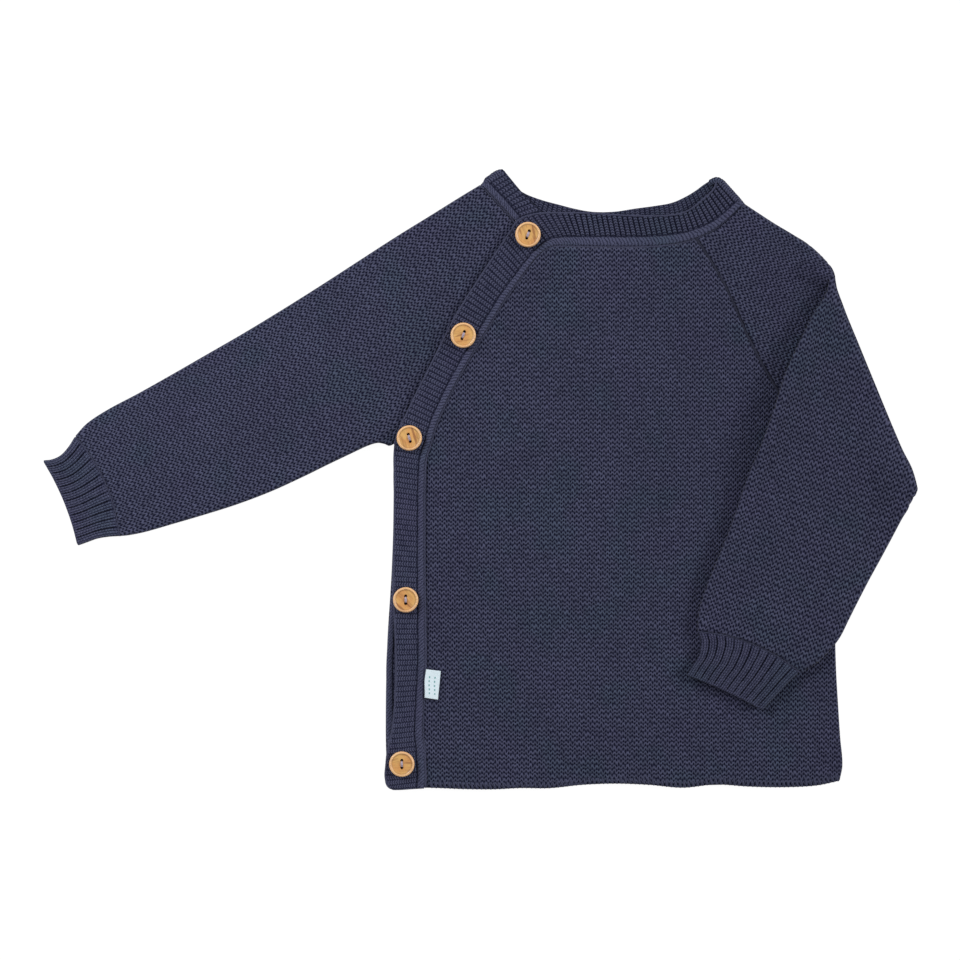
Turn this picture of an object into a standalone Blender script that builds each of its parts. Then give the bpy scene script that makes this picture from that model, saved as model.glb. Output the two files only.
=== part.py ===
# Baby cardigan in fine purl-faced knit, laid flat, buttoned, left sleeve folded over the front.
# Every table and size is in millimetres on the laid-out garment: x to the right, y to the neck, z up.

import bpy
import bmesh
import math
from mathutils import Vector

MM = 0.001

KNIT = 2.0                    # thickness of the knitted cloth
GAP = 0.3                     # clear space between two layers
SEAM = 0.15                   # half of the clear space at a seam
LAYER = KNIT + GAP            # rise from one layer of cloth to the next
TUBE = 2 * KNIT + GAP         # a sleeve pressed flat
EDGE_ROUND = 0.5              # rounding of a cut or knitted edge

RIB_PITCH = 3.04              # ribs of the bands
RIB_CREST = 2.0
RIB_VALLEY = 1.3
BEAD_TOP = 2.5                # chained ridge along a band's seam
BEAD_HALF = 2.2
BEAD_WIDE = 4.6
FRONT_FOLD_BOW = 1.1          # swell of the shoulder folds between a band's two edges
UNDER_FOLD_BOW = 2.1
CUFF_RIBS = 12                # broad ribs across one side of a cuff
CUFF_DEPTH = 0.6

STEP_WIDE = 10.0              # the front comes down off the under band over this width
SAG_SIDE = 16.0               # the folded sleeve comes down beyond the side seam
SAG_UNDER = 14.0
SIDE_X = 210.3
UNDERARM_SLOPE = 0.462
UNDERARM_Y = 19.0

BUTTON_STEPS = 20
HOLE_APART = 4.0
HOLE_WIDE = 1.7
LABEL_LEAF = 0.35

NAVY = (0.046, 0.052, 0.105, 1.0)
NAVY_RIB = (0.042, 0.052, 0.098, 1.0)
WOOD = (0.66, 0.40, 0.16, 1.0)
RIBBON = (0.68, 0.79, 0.87, 1.0)

# front band, from the hem up the opening, round the corner and along the front neck
FRONT_BAND = [
    # seam_x, seam_y, free_x, free_y
    (-32.4, -182.3, -51.1, -183.2),
    (-32.3, -179.7, -54.8, -180.9),
    (-32.1, -176.3, -56.1, -176.3),
    (-32.4, -168.6, -55.8, -168.6),
    (-32.7, -160.3, -54.9, -160.3),
    (-33.6, -151.5, -52.9, -151.5),
    (-33.1, -130.8, -50.6, -130.8),
    (-32.1, -104.3, -50.1, -104.3),
    (-32.3, -86.6, -50.6, -86.6),
    (-32.6, -67.7, -51.3, -67.7),
    (-32.8, -46.9, -51.4, -46.9),
    (-32.8, -24, -51, -24),
    (-32.7, -3, -50.8, -1.6),
    (-31.3, 14.3, -50.8, 17.3),
    (-29.5, 19.7, -50, 24.3),
    (-26.2, 30.8, -43.5, 39.1),
    (-15.3, 54.7, -31.7, 62.7),
    (-2.9, 77, -19.9, 86.3),
    (3.6, 87.6, -14, 97.5),
    (13.2, 103.6, -2.8, 115.2),
    (22.3, 116.5, 8.4, 132.3),
    (28.6, 124.9, 15.5, 142.9),
    (32.7, 130, 19.2, 148.5),
    (35.8, 133, 20.7, 151.4),
    (38.4, 135, 23.8, 153.6),
    (41.6, 136.6, 28.5, 155.2),
    (45.2, 137.4, 34.4, 156.3),
    (49.5, 137.5, 40.9, 156.5),
    (54.5, 137.5, 48.6, 156.5),
    (62.3, 137.3, 61, 156.4),
    (72.7, 137.2, 73.3, 155.7),
    (83.8, 137.1, 85.1, 155),
    (94.9, 137.2, 96.9, 154.7),
    (107.4, 137.9, 109, 154.9),
    (117.8, 139.3, 116.4, 155.7),
    (127.7, 142.3, 122.9, 158),
    (135.6, 145.9, 128.2, 161.8),
    (141.1, 149.6, 132.3, 165.5),
    (146, 153.8, 135.9, 168.6),
    (149.9, 157.3, 138.2, 171.8),
    (154.1, 161.5, 139.4, 177.2),
]

# band under the opening, from the shoulder fold down to the hem; shows = 1 where nothing covers it
UNDER_BAND = [
    # seam_x, seam_y, free_x, free_y, shows
    (2.4, 172.5, 14.8, 181.6, 1),
    (5.5, 169.2, 17, 179, 1),
    (9.6, 164.8, 20.2, 175.1, 1),
    (14.3, 159.8, 24.4, 170, 1),
    (18.5, 155, 29.7, 164.2, 1),
    (21.7, 151.5, 35.6, 158.3, 0),
    (23.2, 148.8, 41.5, 153.3, 0),
    (23, 145.9, 43, 147.7, 0),
    (20.2, 140.6, 36.2, 133.5, 0),
    (9.6, 131, 20.5, 118.6, 0),
    (-1.3, 114.2, 10.9, 105.2, 0),
    (-12.4, 96.6, 1.2, 88.9, 0),
    (-18.3, 85.4, -5.3, 78.3, 0),
    (-30.1, 61.9, -17.7, 55.9, 0),
    (-41.9, 38.3, -28.7, 32, 0),
    (-50.3, 19, -33.7, 16.1, 0),
    (-50.1, 12.5, -34.9, 11.4, 0),
    (-50.1, -1.6, -35.6, -2.2, 0),
    (-50.2, -24, -35.6, -24, 0),
    (-50.8, -38.8, -35.6, -38.8, 0),
    (-51.6, -53.5, -35.6, -53.5, 0),
    (-52.3, -71.2, -35.4, -71.2, 0),
    (-53, -80.1, -35.2, -80.1, 0),
    (-54.1, -90.1, -35, -90.1, 0),
    (-54.8, -99.6, -34.9, -99.6, 1),
    (-55.3, -109.6, -35.1, -109.6, 1),
    (-55.3, -124.3, -35.8, -124.3, 1),
    (-55.2, -139.1, -36, -139.1, 0),
    (-54.9, -150.9, -36.2, -150.9, 0),
    (-54.2, -160.3, -35.8, -160.3, 0),
    (-53.7, -168.6, -35.2, -168.6, 0),
    (-53, -180.4, -35.2, -180.7, 0),
]

# where the front leaves the raised corner of the opening, neck side first
STEP_CORNER = [
    # x, y
    (45.6, 171.8),
    (46.5, 156.5),
    (46.2, 143.5),
    (40.9, 134.1),
    (33.2, 128.2),
]

# back neck band, from the left shoulder to the right shoulder
BACK_BAND = [
    # seam_x, seam_y, free_x, free_y
    (150.9, 158.1, 137.1, 177.3),
    (145.9, 153.3, 132.3, 174.2),
    (139.4, 148.2, 127.6, 170.7),
    (132.9, 144.4, 122.9, 167.8),
    (127.6, 142.3, 118.2, 165.4),
    (118.2, 139.7, 112.9, 163.4),
    (106.4, 138.2, 104, 161.8),
    (93.4, 137.6, 92.2, 160.2),
    (79.2, 137.6, 79.2, 158.3),
    (65.1, 138.5, 66.3, 158.3),
    (52.1, 140.6, 55.6, 160.2),
    (42.7, 143.2, 46.8, 162.5),
    (35.6, 146.2, 39.1, 164.5),
    (28.5, 150.3, 33.2, 166.4),
    (21.4, 155.3, 27.9, 168.5),
    (14.9, 160.9, 23.2, 171.4),
    (9.6, 165.7, 19.7, 175.4),
]

# raglan seam of the left sleeve, neck to armpit
RAGLAN = [
    # x, y
    (127.7, 142.3),
    (136.8, 128.2),
    (144.7, 114.6),
    (151.2, 101),
    (157.7, 85.7),
    (164.8, 71.5),
    (173.1, 57.4),
    (183.1, 42),
    (195.5, 29.1),
    (210.2, 19),
]

# back raglan seam of the right sleeve, neck to armpit
BACK_RAGLAN = [
    # x, y
    (30.9, 148.8),
    (22, 131.7),
    (13.8, 115.8),
    (7.3, 101),
    (0.8, 85.7),
    (-6.3, 71.5),
    (-14.6, 57.4),
    (-24.6, 42),
    (-37.6, 29.1),
    (-52.9, 19.3),
]

# lower edge of the front, opening to side seam
FRONT_HEM = [
    # x, y
    (-32.4, -182),
    (-23.4, -182.3),
    (-9.3, -182.9),
    (7.3, -183),
    (19.1, -182.8),
    (27.3, -182),
    (42.7, -182.3),
    (55.1, -181.7),
    (62.7, -180),
    (73.3, -179.6),
    (94.6, -180.2),
    (104.6, -180.7),
    (113.5, -181.9),
    (122.9, -181.9),
    (131.8, -180.3),
    (151.2, -181.1),
    (174.2, -181.8),
    (192.5, -181.3),
    (204.3, -180),
    (212.8, -177.9),
]

# left side seam, hem to armpit
SIDE_SEAM = [
    # x, y
    (212.8, -177.9),
    (214.3, -175.4),
    (214.7, -171.5),
    (214.2, -165.6),
    (213.5, -156.8),
    (212.5, -142),
    (211.4, -124.3),
    (210.5, -106.6),
    (210.2, -88.9),
    (210.2, -59.4),
    (210.2, -24),
    (210.2, 19),
]

# right side edge of the back, hem to armpit
BACK_SIDE = [
    # x, y
    (-52.9, -181.6),
    (-54.8, -179.2),
    (-55.2, -171.5),
    (-54.8, -160.3),
    (-55.2, -150.9),
    (-55.6, -139.1),
    (-55.7, -124.3),
    (-55.6, -109.6),
    (-55, -99.6),
    (-54.3, -90.1),
    (-53.4, -80.1),
    (-52.9, -71.2),
    (-52.2, -53.5),
    (-51.7, -38.8),
    (-51.2, -24),
    (-50.8, -1.6),
    (-51.4, 10.2),
    (-52.9, 19.3),
]

# right sleeve rings, raglan to cuff: shoulder-side edge, underarm edge
RIGHT_SLEEVE = [
    # top_x, top_y, under_x, under_y, raglan, bow, puff
    (1.1, 174.4, -52.9, 19.3, 1, 0, 0),
    (-11, 167.1, -56.5, 20.9, 0.78, 0, 0),
    (-29.3, 155.7, -60.6, 21.4, 0.48, 0, 0.3),
    (-50, 142.9, -66.5, 19.6, 0.2, 0, 0.7),
    (-71.8, 128.8, -75.3, 15.5, 0.05, 0, 1),
    (-94.2, 114.3, -88.3, 9.3, 0, 0, 1.2),
    (-116.6, 100.2, -104.2, 1.5, 0, 0, 1.3),
    (-138.5, 86.9, -122.5, -6.9, 0, 0, 1.3),
    (-160.3, 74.3, -142.6, -14.6, 0, 0.5, 1.3),
    (-181.5, 62.1, -162.1, -20.8, 0, 1.5, 1.2),
    (-201.6, 50.8, -181.5, -26.5, 0, 3, 1.1),
    (-219.3, 41.4, -197.5, -31.1, 0, 4.2, 0.9),
    (-231.7, 33.3, -207.5, -33.1, 0, 5, 0.5),
    (-239, 25.5, -212.8, -33.6, 0, 5.1, 0.2),
]

# right cuff rings, sleeve to open edge
RIGHT_CUFF = [
    # top_x, top_y, under_x, under_y, bow, puff, pinch
    (-239, 25.5, -212.8, -33.6, 5.1, 0.2, 0),
    (-242.9, 19.3, -219.3, -34, 4.8, 0, 0.2),
    (-247.6, 14.2, -225.8, -35.1, 4.2, 0.3, 0.2),
    (-252.7, 11.8, -231.2, -37, 3.2, 0.4, 0.1),
    (-258.1, 11.2, -237.5, -39.3, 2.4, 0.3, 0),
]

# left sleeve rings from the raglan to the fold
LEFT_SLEEVE_LOWER = [
    # top_x, top_y, under_x, under_y, raglan, bow, puff
    (155.4, 163.4, 210.2, 19, 1, 0, 0),
    (163.6, 158, 216.1, 16.4, 0.74, 0, 0),
    (174.2, 151.1, 223.2, 13.3, 0.46, 0, 0),
    (185.4, 144.4, 230.9, 10, 0.22, 0, 0),
    (195.5, 137.6, 238.5, 6.6, 0.06, 0, 0),
    (201.7, 132, 245.6, 3.6, 0, 0, 0),
]

# line the left sleeve is folded on, shoulder side first
FOLD_LINE = [
    # x, y
    (200.5, 128.2),
    (202.6, 125.4),
    (204.1, 122.3),
    (204.9, 118.5),
    (205.7, 113.1),
    (209.4, 102.3),
    (219.5, 77.2),
    (229.7, 52.4),
    (239.8, 27.9),
    (248.3, 8.7),
    (252.4, 0.7),
    (253.5, -4),
    (253.5, -8.7),
    (252.6, -12.5),
]

# left sleeve rings from the fold to the cuff
LEFT_SLEEVE_UPPER = [
    # top_x, top_y, under_x, under_y, raglan, bow, puff
    (202.9, 108.1, 253.1, -16.1, 0, 0, 0.1),
    (196.1, 97.2, 249.3, -23.1, 0, 0, 0.3),
    (188.4, 82.2, 243.5, -34.6, 0, 0, 0.7),
    (179.5, 62.7, 236.7, -47.3, 0, 0, 1),
    (172.8, 42, 229.8, -59.7, 0, 0, 1.2),
    (165.1, 20.2, 223.1, -72.1, 0, 0, 1.3),
    (156.8, -0.4, 217.5, -82.7, 0, 0.5, 1.3),
    (149.8, -21.7, 212.1, -93.2, 0, 1.4, 1.2),
    (141.5, -42.9, 205.8, -101.3, 0, 2.6, 1.1),
    (133.5, -62.7, 198.4, -108.4, 0, 3.8, 0.9),
    (129.1, -77.1, 192.8, -112.2, 0, 4.7, 0.5),
    (128.2, -89.8, 188.4, -113.9, 0, 5.2, 0.2),
]

# left cuff rings, sleeve to open edge
LEFT_CUFF = [
    # top_x, top_y, under_x, under_y, bow, puff, pinch
    (128.2, -89.8, 188.4, -113.9, 5.2, 0.2, 0),
    (130.2, -95.4, 184, -117.8, 5, 0, 0.2),
    (129.1, -103.4, 179.3, -122.3, 4, 0.3, 0.2),
    (125.3, -109.4, 173.6, -128.5, 2.6, 0.4, 0.1),
    (121.7, -115.4, 166.3, -136.1, 1, 0.3, 0),
]

# button centres, neck to hem
BUTTONS = [
    # x, y, hole_line_deg
    (28.4, 143.9, 70),
    (-9.7, 84.7, 70),
    (-41.4, 24.3, 105),
    (-43.5, -70.9, 90),
    (-45.8, -167.5, 90),
]

# corners of the side label
LABEL = [
    # x, y
    (-31.8, -111.9),
    (-22.9, -113.1),
    (-24.6, -129.9),
    (-32.7, -128.6),
]

# widths across the front, opening side first, and heights up it (fractions)
FRONT_COLUMNS = (0, .02, .04, .06, .085, .12, .17, .23, .3, .38, .46, .54, .62, .7, .78, .86, .94, 1)
FRONT_ROWS = (0, .03, .08, .14, .2, .26, .32, .38, .44, .5, .56, .61, .63, .65, .68, .72, .77,
              .82, .87, .91, .94, .96, .975, .988, 1)
BACK_COLUMNS = (0, .08, .2, .35, .5, .65, .8, .92, 1)
BACK_ROWS = (0, .04, .14, .26, .38, .5, .57, .61, .64, .68, .72, .76, .8, .84, .88, .92, .96, .985, 1)

PANEL_CLEAR = {"left": 0.15, "right": 0.35, "high": 0.25}

# stations across one side of a sleeve; the raglan meets the neck at NECK_SHARE
NECK_SHARE = 0.19
WALL_STATIONS = (.045, .08, .115, .15, .19, .215, .25, .31, .38, .46, .55, .64, .73, .82, .91)
INNER_STATIONS = (.115, .19, .31, .46, .64, .82)
EDGE_INSETS = ((0.6, 0.7), (2.2, 1.0))      # inset from a folded edge, share of the half height
TURN_ANGLES = (0, 30, 60, 90, 120, 150, 180)
HOLE_TURN = 0.17

# turned profile of a button: radius, height
BUTTON_PROFILE = (
    (0.0, 0.0), (5.6, 0.0), (7.0, 0.5), (7.5, 1.5), (7.2, 2.8), (6.6, 3.2), (5.9, 2.7), (0.0, 2.5),
)


def clamp(t):
    return max(0.0, min(1.0, t))


def ease(t):
    t = clamp(t)
    return t * t * (3.0 - 2.0 * t)


def mix(a, b, t):
    return tuple(p + (q - p) * t for p, q in zip(a, b))


def unit(x, y):
    size = math.hypot(x, y) or 1.0
    return x / size, y / size


def track(rows, measure=None):
    """Smooth curve through the rows of a table. Returns its length and a sampler by share of it."""
    measure = measure or (lambda r: (r[0], r[1]))
    marks = [0.0]
    for a, b in zip(rows, rows[1:]):
        (ax, ay), (bx, by) = measure(a), measure(b)
        marks.append(marks[-1] + max(1e-6, math.hypot(bx - ax, by - ay)))
    last = len(rows) - 1
    steps = [marks[i + 1] - marks[i] for i in range(last)]
    slopes = [tuple((q - p) / h for p, q in zip(a, b)) for a, b, h in zip(rows, rows[1:], steps)]

    def tangent(i):
        if i == 0:
            return slopes[0]
        if i == last:
            return slopes[-1]
        return mix(slopes[i - 1], slopes[i], steps[i - 1] / (steps[i - 1] + steps[i]))

    tangents = [tangent(i) for i in range(last + 1)]

    def sample(share):
        s = clamp(share) * marks[-1]
        i = 0
        while i < last - 1 and marks[i + 1] < s:
            i += 1
        h = steps[i]
        u = (s - marks[i]) / h
        a, b, c, d = 2*u**3 - 3*u*u + 1, u**3 - 2*u*u + u, 3*u*u - 2*u**3, u**3 - u*u
        return tuple(a*p + b*h*m + c*q + d*h*n for p, m, q, n in
                     zip(rows[i], tangents[i], rows[i + 1], tangents[i + 1]))
    return marks[-1], sample


def by_height(*parts):
    """Sampler along a boundary that climbs, by share of its height; its parts meet at corners."""
    low, high = parts[0][0][1], parts[-1][-1][1]
    count = 120
    points = []
    for rows in parts:
        _, sample = track(rows)
        points += [sample(k / count) for k in range(count + 1)]

    def at(share):
        y = low + (high - low) * share
        for a, b in zip(points, points[1:]):
            if b[1] >= y:
                t = 0.0 if b[1] == a[1] else clamp((y - a[1]) / (b[1] - a[1]))
                return mix(a, b, t)
        return points[-1]
    return at


def outside(x, y, line):
    """Distance from a line of points, positive on the left of its direction."""
    best, sign = 1e9, 1.0
    for (ax, ay), (bx, by) in zip(line, line[1:]):
        dx, dy = bx - ax, by - ay
        t = clamp(((x - ax) * dx + (y - ay) * dy) / (dx * dx + dy * dy))
        px, py = x - ax - dx * t, y - ay - dy * t
        d = math.hypot(px, py)
        if d < best - 1e-9:
            best, sign = d, (1.0 if dx * (y - ay) - dy * (x - ax) > 0 else -1.0)
    return best * sign


def middle_line(row):
    return (row[0] + row[2]) / 2, (row[1] + row[3]) / 2


def edges_of(rows, count):
    """Seam edge and free edge of a band as fine lines of points."""
    _, at = track(rows, middle_line)
    points = [at(k / count) for k in range(count + 1)]
    return [tuple(p[:2]) for p in points], [tuple(p[2:4]) for p in points]


FRONT_SEAM, FRONT_EDGE = edges_of(FRONT_BAND, 200)
UNDER_SEAM, UNDER_EDGE = edges_of(UNDER_BAND, 150)
BACK_SEAM, BACK_EDGE = edges_of(BACK_BAND, 60)


STEP_LINE = STEP_CORNER + [p for p in UNDER_EDGE if p[1] < STEP_CORNER[-1][1] - 6]


def front_base(x, y):
    """Underside of the front and its band: on the under band, coming down to the back beyond it."""
    d = outside(x, y, STEP_LINE) - 1.0
    return LAYER * (2.0 - ease(d / STEP_WIDE))


def under_base(x, y):
    return LAYER


def floor_base(x, y):
    return 0.0


def folded_base(x, y, share=1.0):
    """Underside of the folded part of the left sleeve, coming down to the floor off the body."""
    past_side = (x - SIDE_X - 1.5) / SAG_SIDE
    past_under = (UNDERARM_Y - (x - SIDE_X) * UNDERARM_SLOPE - y - 1.5) / SAG_UNDER
    return 2 * LAYER * (1.0 - share * ease(min(past_side, past_under)))


# ---------------------------------------------------------------- building

def material(name, colour, roughness):
    mat = bpy.data.materials.new(name)
    mat.use_nodes = True
    shader = mat.node_tree.nodes["Principled BSDF"]
    shader.inputs["Base Color"].default_value = colour
    shader.inputs["Roughness"].default_value = roughness
    mat.diffuse_color = colour
    return mat


def solid(name, verts, faces, colour, roughness=0.9):
    mesh = bpy.data.meshes.new(name)
    mesh.from_pydata([(x * MM, y * MM, z * MM) for x, y, z in verts], [], faces)
    obj = bpy.data.objects.new(name, mesh)
    bpy.context.scene.collection.objects.link(obj)
    bm = bmesh.new()
    bm.from_mesh(mesh)
    bmesh.ops.recalc_face_normals(bm, faces=bm.faces)
    bm.to_mesh(mesh)
    bm.free()
    mesh.materials.append(material(name + "_material", colour, roughness))
    return obj


def sheet_grid(left, right, low, high, columns, rows):
    """Plan points of a cloth panel between its four edges."""
    p00, p10, p01, p11 = low(0), low(1), high(0), high(1)
    grid = []
    for v in rows:
        a, b = left(v), right(v)
        line = []
        for u in columns:
            c, d = low(u), high(u)
            line.append(tuple(
                (1 - v) * c[k] + v * d[k] + (1 - u) * a[k] + u * b[k]
                - (1 - u) * (1 - v) * p00[k] - u * (1 - v) * p10[k]
                - (1 - u) * v * p01[k] - u * v * p11[k] for k in (0, 1)))
        grid.append(line)
    return grid


def rim(rows, columns):
    """Border of a grid, counter-clockwise from above, each with its inner neighbour."""
    i1, j1 = rows - 1, columns - 1
    path = [((0, j), (1, j)) for j in range(columns)]
    path += [((i, j1), (i, j1 - 1)) for i in range(1, rows)]
    path += [((i1, j), (i1 - 1, j)) for j in range(j1 - 1, -1, -1)]
    path += [((i, 0), (i, 1)) for i in range(i1 - 1, 0, -1)]
    inner = {(0, 0): (1, 1), (0, j1): (1, j1 - 1), (i1, 0): (i1 - 1, 1), (i1, j1): (i1 - 1, j1 - 1)}
    return [(p, inner.get(p, q)) for p, q in path]


def panel(name, grid, base, clear, colour):
    """Cloth panel of KNIT thickness with rounded edges over a plan grid.
    clear: how far each side is held off its seam line, for left, right, high."""
    rows, columns = len(grid), len(grid[0])
    plan = [list(line) for line in grid]
    for i in range(rows):
        for side, j, k in (("left", 0, 1), ("right", -1, -2)):
            x, y = unit(grid[i][k][0] - grid[i][j][0], grid[i][k][1] - grid[i][j][1])
            off = clear[side]
            plan[i][j] = (plan[i][j][0] + x * off, plan[i][j][1] + y * off)
    for j in range(columns):
        x, y = unit(grid[-2][j][0] - grid[-1][j][0], grid[-2][j][1] - grid[-1][j][1])
        off = clear["high"]
        plan[-1][j] = (plan[-1][j][0] + x * off, plan[-1][j][1] + y * off)
    border = rim(rows, columns)
    inset = {}
    for (i, j), (m, n) in border:
        x, y = unit(plan[m][n][0] - plan[i][j][0], plan[m][n][1] - plan[i][j][1])
        inset[(i, j)] = (plan[i][j][0] + x * EDGE_ROUND, plan[i][j][1] + y * EDGE_ROUND)
    verts, under, over, middle = [], {}, {}, {}
    for i in range(rows):
        for j in range(columns):
            x, y = inset.get((i, j), plan[i][j])
            z = base(x, y)
            under[(i, j)] = len(verts)
            verts.append((x, y, z))
            over[(i, j)] = len(verts)
            verts.append((x, y, z + KNIT))
    for p, q in border:
        x, y = plan[p[0]][p[1]]
        middle[p] = len(verts)
        verts.append((x, y, base(x, y) + KNIT / 2))
    faces = []
    for i in range(rows - 1):
        for j in range(columns - 1):
            a, b, c, d = (i, j), (i, j + 1), (i + 1, j + 1), (i + 1, j)
            faces.append((over[a], over[b], over[c], over[d]))
            faces.append((under[d], under[c], under[b], under[a]))
    loop = [p for p, q in border]
    for a, b in zip(loop, loop[1:] + loop[:1]):
        faces.append((under[a], under[b], middle[b], middle[a]))
        faces.append((middle[a], middle[b], over[b], over[a]))
    return solid(name, verts, faces, colour)


def sweep(name, sections, colour):
    """Closed body through equal-sided sections, with a face at each end."""
    size = len(sections[0])
    verts = [p for s in sections for p in s]
    faces = [tuple(range(size)), tuple(reversed(range(len(verts) - size, len(verts))))]
    for k in range(len(sections) - 1):
        for i in range(size):
            j = (i + 1) % size
            a, b = k * size + i, k * size + j
            faces.append((a, a + size, b + size, b))
    return solid(name, verts, faces, colour)


def band_profile(width, rib, bead):
    """Section of a band: share of the width from the seam, height."""
    return ((1.0 - 0.1 / width, 0.0), (0.2 / width, 0.0), (0.0, 1.4), (BEAD_HALF / width, bead),
            (BEAD_WIDE / width, rib), (1.0 - 0.2 / width, rib))


def held_off(row):
    """Seam edge of a band row moved half the seam clearance toward its free edge."""
    x, y = unit(row[2] - row[0], row[3] - row[1])
    return (row[0] + x * SEAM, row[1] + y * SEAM) + tuple(row[2:])


def flat_section(row, base, rib, bead):
    sx, sy, fx, fy = held_off(row)[:4]
    width = math.hypot(fx - sx, fy - sy)
    points = []
    for share, high in band_profile(width, rib, bead):
        x, y = sx + (fx - sx) * share, sy + (fy - sy) * share
        points.append((x, y, base(x, y) + high))
    return points


def turned_section(row, degrees, out, rib, bead, bow=0.0):
    """Band section part way round a shoulder fold; degrees from the top leg.
    bow: how far the fold swells between the band's two edges."""
    sx, sy, fx, fy = held_off(row)[:4]
    width = math.hypot(fx - sx, fy - sy)
    angle = math.radians(degrees)
    points = []
    for share, high in band_profile(width, rib, bead):
        reach = GAP / 2 + high
        beyond = (reach + bow * 4 * share * (1 - share)) * math.sin(angle)
        x, y = sx + (fx - sx) * share, sy + (fy - sy) * share
        points.append((x + out[0] * beyond, y + out[1] * beyond,
                       KNIT + GAP / 2 + reach * math.cos(angle)))
    return points


def ribbed(index):
    return RIB_CREST if index % 2 else RIB_VALLEY


def shoulder_turn(fold, beyond, outward, bow):
    """Sections from the top leg round the fold and along the lower leg to the back band."""
    out = outward
    sections = [turned_section(fold, a, out, RIB_CREST, max(RIB_CREST, BEAD_TOP - a * 0.01), bow)
                for a in (45, 90, 135, 180)]
    gap = math.hypot(beyond[0] - fold[0], beyond[1] - fold[1])
    near = math.hypot(beyond[2] - fold[2], beyond[3] - fold[3])
    end = mix(fold[:2], beyond[:2], 1 - GAP / gap) + mix(fold[2:4], beyond[2:4], 1 - GAP / near)
    sections.append(turned_section(end, 180, out, RIB_CREST, RIB_CREST))
    return sections


def front_band():
    length, at = track(FRONT_BAND, middle_line)
    count = int(round(length / (RIB_PITCH / 2)))
    sections = [flat_section(at(k / count), front_base, ribbed(k), BEAD_TOP)
                for k in range(count + 1)]
    fold = FRONT_BAND[-1]
    x, y = unit(fold[2] - fold[0], fold[3] - fold[1])
    sections += shoulder_turn(fold, BACK_BAND[0], (y, -x), FRONT_FOLD_BOW)
    return sweep("front_band", sections, NAVY_RIB)


def under_band():
    length, at = track(UNDER_BAND, middle_line)
    count = int(round(length / (RIB_PITCH / 2)))
    fold = UNDER_BAND[0][:4]
    x, y = unit(fold[2] - fold[0], fold[3] - fold[1])
    sections = list(reversed(shoulder_turn(fold, BACK_BAND[-1], (-y, x), UNDER_FOLD_BOW)))
    previous = None
    for k in range(count + 1):
        row = at(k / count)
        shows = row[4] > 0.5
        hidden = not shows
        if hidden and previous == "hidden" and k % 3 and k < count and k > 20:
            continue
        ribs = shows and k < count // 3
        sections.append(flat_section(row, under_base, ribbed(k) if ribs else RIB_CREST,
                                     BEAD_TOP if shows else RIB_CREST))
        previous = "hidden" if hidden else "shows"
    return sweep("under_band", sections, NAVY_RIB)


def back_band():
    length, at = track(BACK_BAND, middle_line)
    count = int(round(length / (RIB_PITCH / 2)))
    sections = [flat_section(at(k / count), floor_base, ribbed(k), RIB_CREST)
                for k in range(count + 1)]
    return sweep("back_neck_band", sections, NAVY_RIB)


def corner_of(rows, x, y):
    return min(range(len(rows)), key=lambda i: math.hypot(rows[i][0] - x, rows[i][1] - y))


def between(rows, start, end):
    """Rows of a seam cut to start and end at two given points."""
    a, b = corner_of(rows, *start), corner_of(rows, *end)
    body = rows[a:b + 1] if a < b else list(reversed(rows[b:a + 1]))
    return [start] + [r for r in body if math.hypot(r[0] - start[0], r[1] - start[1]) > 1.5
                      and math.hypot(r[0] - end[0], r[1] - end[1]) > 1.5] + [end]


NECK_CORNER = FRONT_SEAM[corner_of(FRONT_SEAM, *FRONT_BAND[23][:2])]   # opening meets neck
SLEEVE_CORNER = UNDER_SEAM[corner_of(UNDER_SEAM, *UNDER_BAND[6][:2])]


def with_armpit(rows):
    """Row shares with the one nearest the armpit put exactly at its height."""
    low, high = SIDE_SEAM[0][1], RAGLAN[0][1]
    armpit = (RAGLAN[-1][1] - low) / (high - low)
    nearest = min(rows, key=lambda v: abs(v - armpit))
    return tuple(armpit if v == nearest else v for v in rows)


def front_panel():
    turn = corner_of(FRONT_SEAM, *NECK_CORNER)
    left = [FRONT_HEM[0]] + FRONT_SEAM[1:turn + 1]
    neck = between(FRONT_SEAM, NECK_CORNER, RAGLAN[0])
    right = by_height(SIDE_SEAM, list(reversed(RAGLAN)))
    grid = sheet_grid(by_height(left), right, track(FRONT_HEM)[1], track(neck)[1],
                      FRONT_COLUMNS, with_armpit(FRONT_ROWS))
    return panel("front_panel", grid, front_base, PANEL_CLEAR, NAVY)


def back_panel():
    left = by_height(BACK_SIDE, list(reversed(BACK_RAGLAN)))
    neck = between(BACK_SEAM, BACK_RAGLAN[0], RAGLAN[0])
    right = by_height(SIDE_SEAM, list(reversed(RAGLAN)))
    hem = [BACK_SIDE[0]] + [(x, y + 1.2) for x, y in FRONT_HEM[2:-1]] + [FRONT_HEM[-1]]
    grid = sheet_grid(left, right, track(hem)[1], track(neck)[1],
                      BACK_COLUMNS, with_armpit(BACK_ROWS))
    return panel("back_panel", grid, floor_base, PANEL_CLEAR, NAVY)


# ---------------------------------------------------------------- sleeves

def two_part(neck, raglan):
    """Path along the neck edge, then the raglan; the corner stands at NECK_SHARE."""
    _, first = track(neck)
    _, second = track(raglan)

    def at(f):
        if f <= NECK_SHARE:
            return first(f / NECK_SHARE)
        return second((f - NECK_SHARE) / (1 - NECK_SHARE))
    return at


def bowed(a, b, f, bow):
    x, y = mix(a, b, f)
    nx, ny = unit(-(b[1] - a[1]), b[0] - a[0])
    lift = bow * 4 * f * (1 - f)
    return x + nx * lift, y + ny * lift


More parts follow.
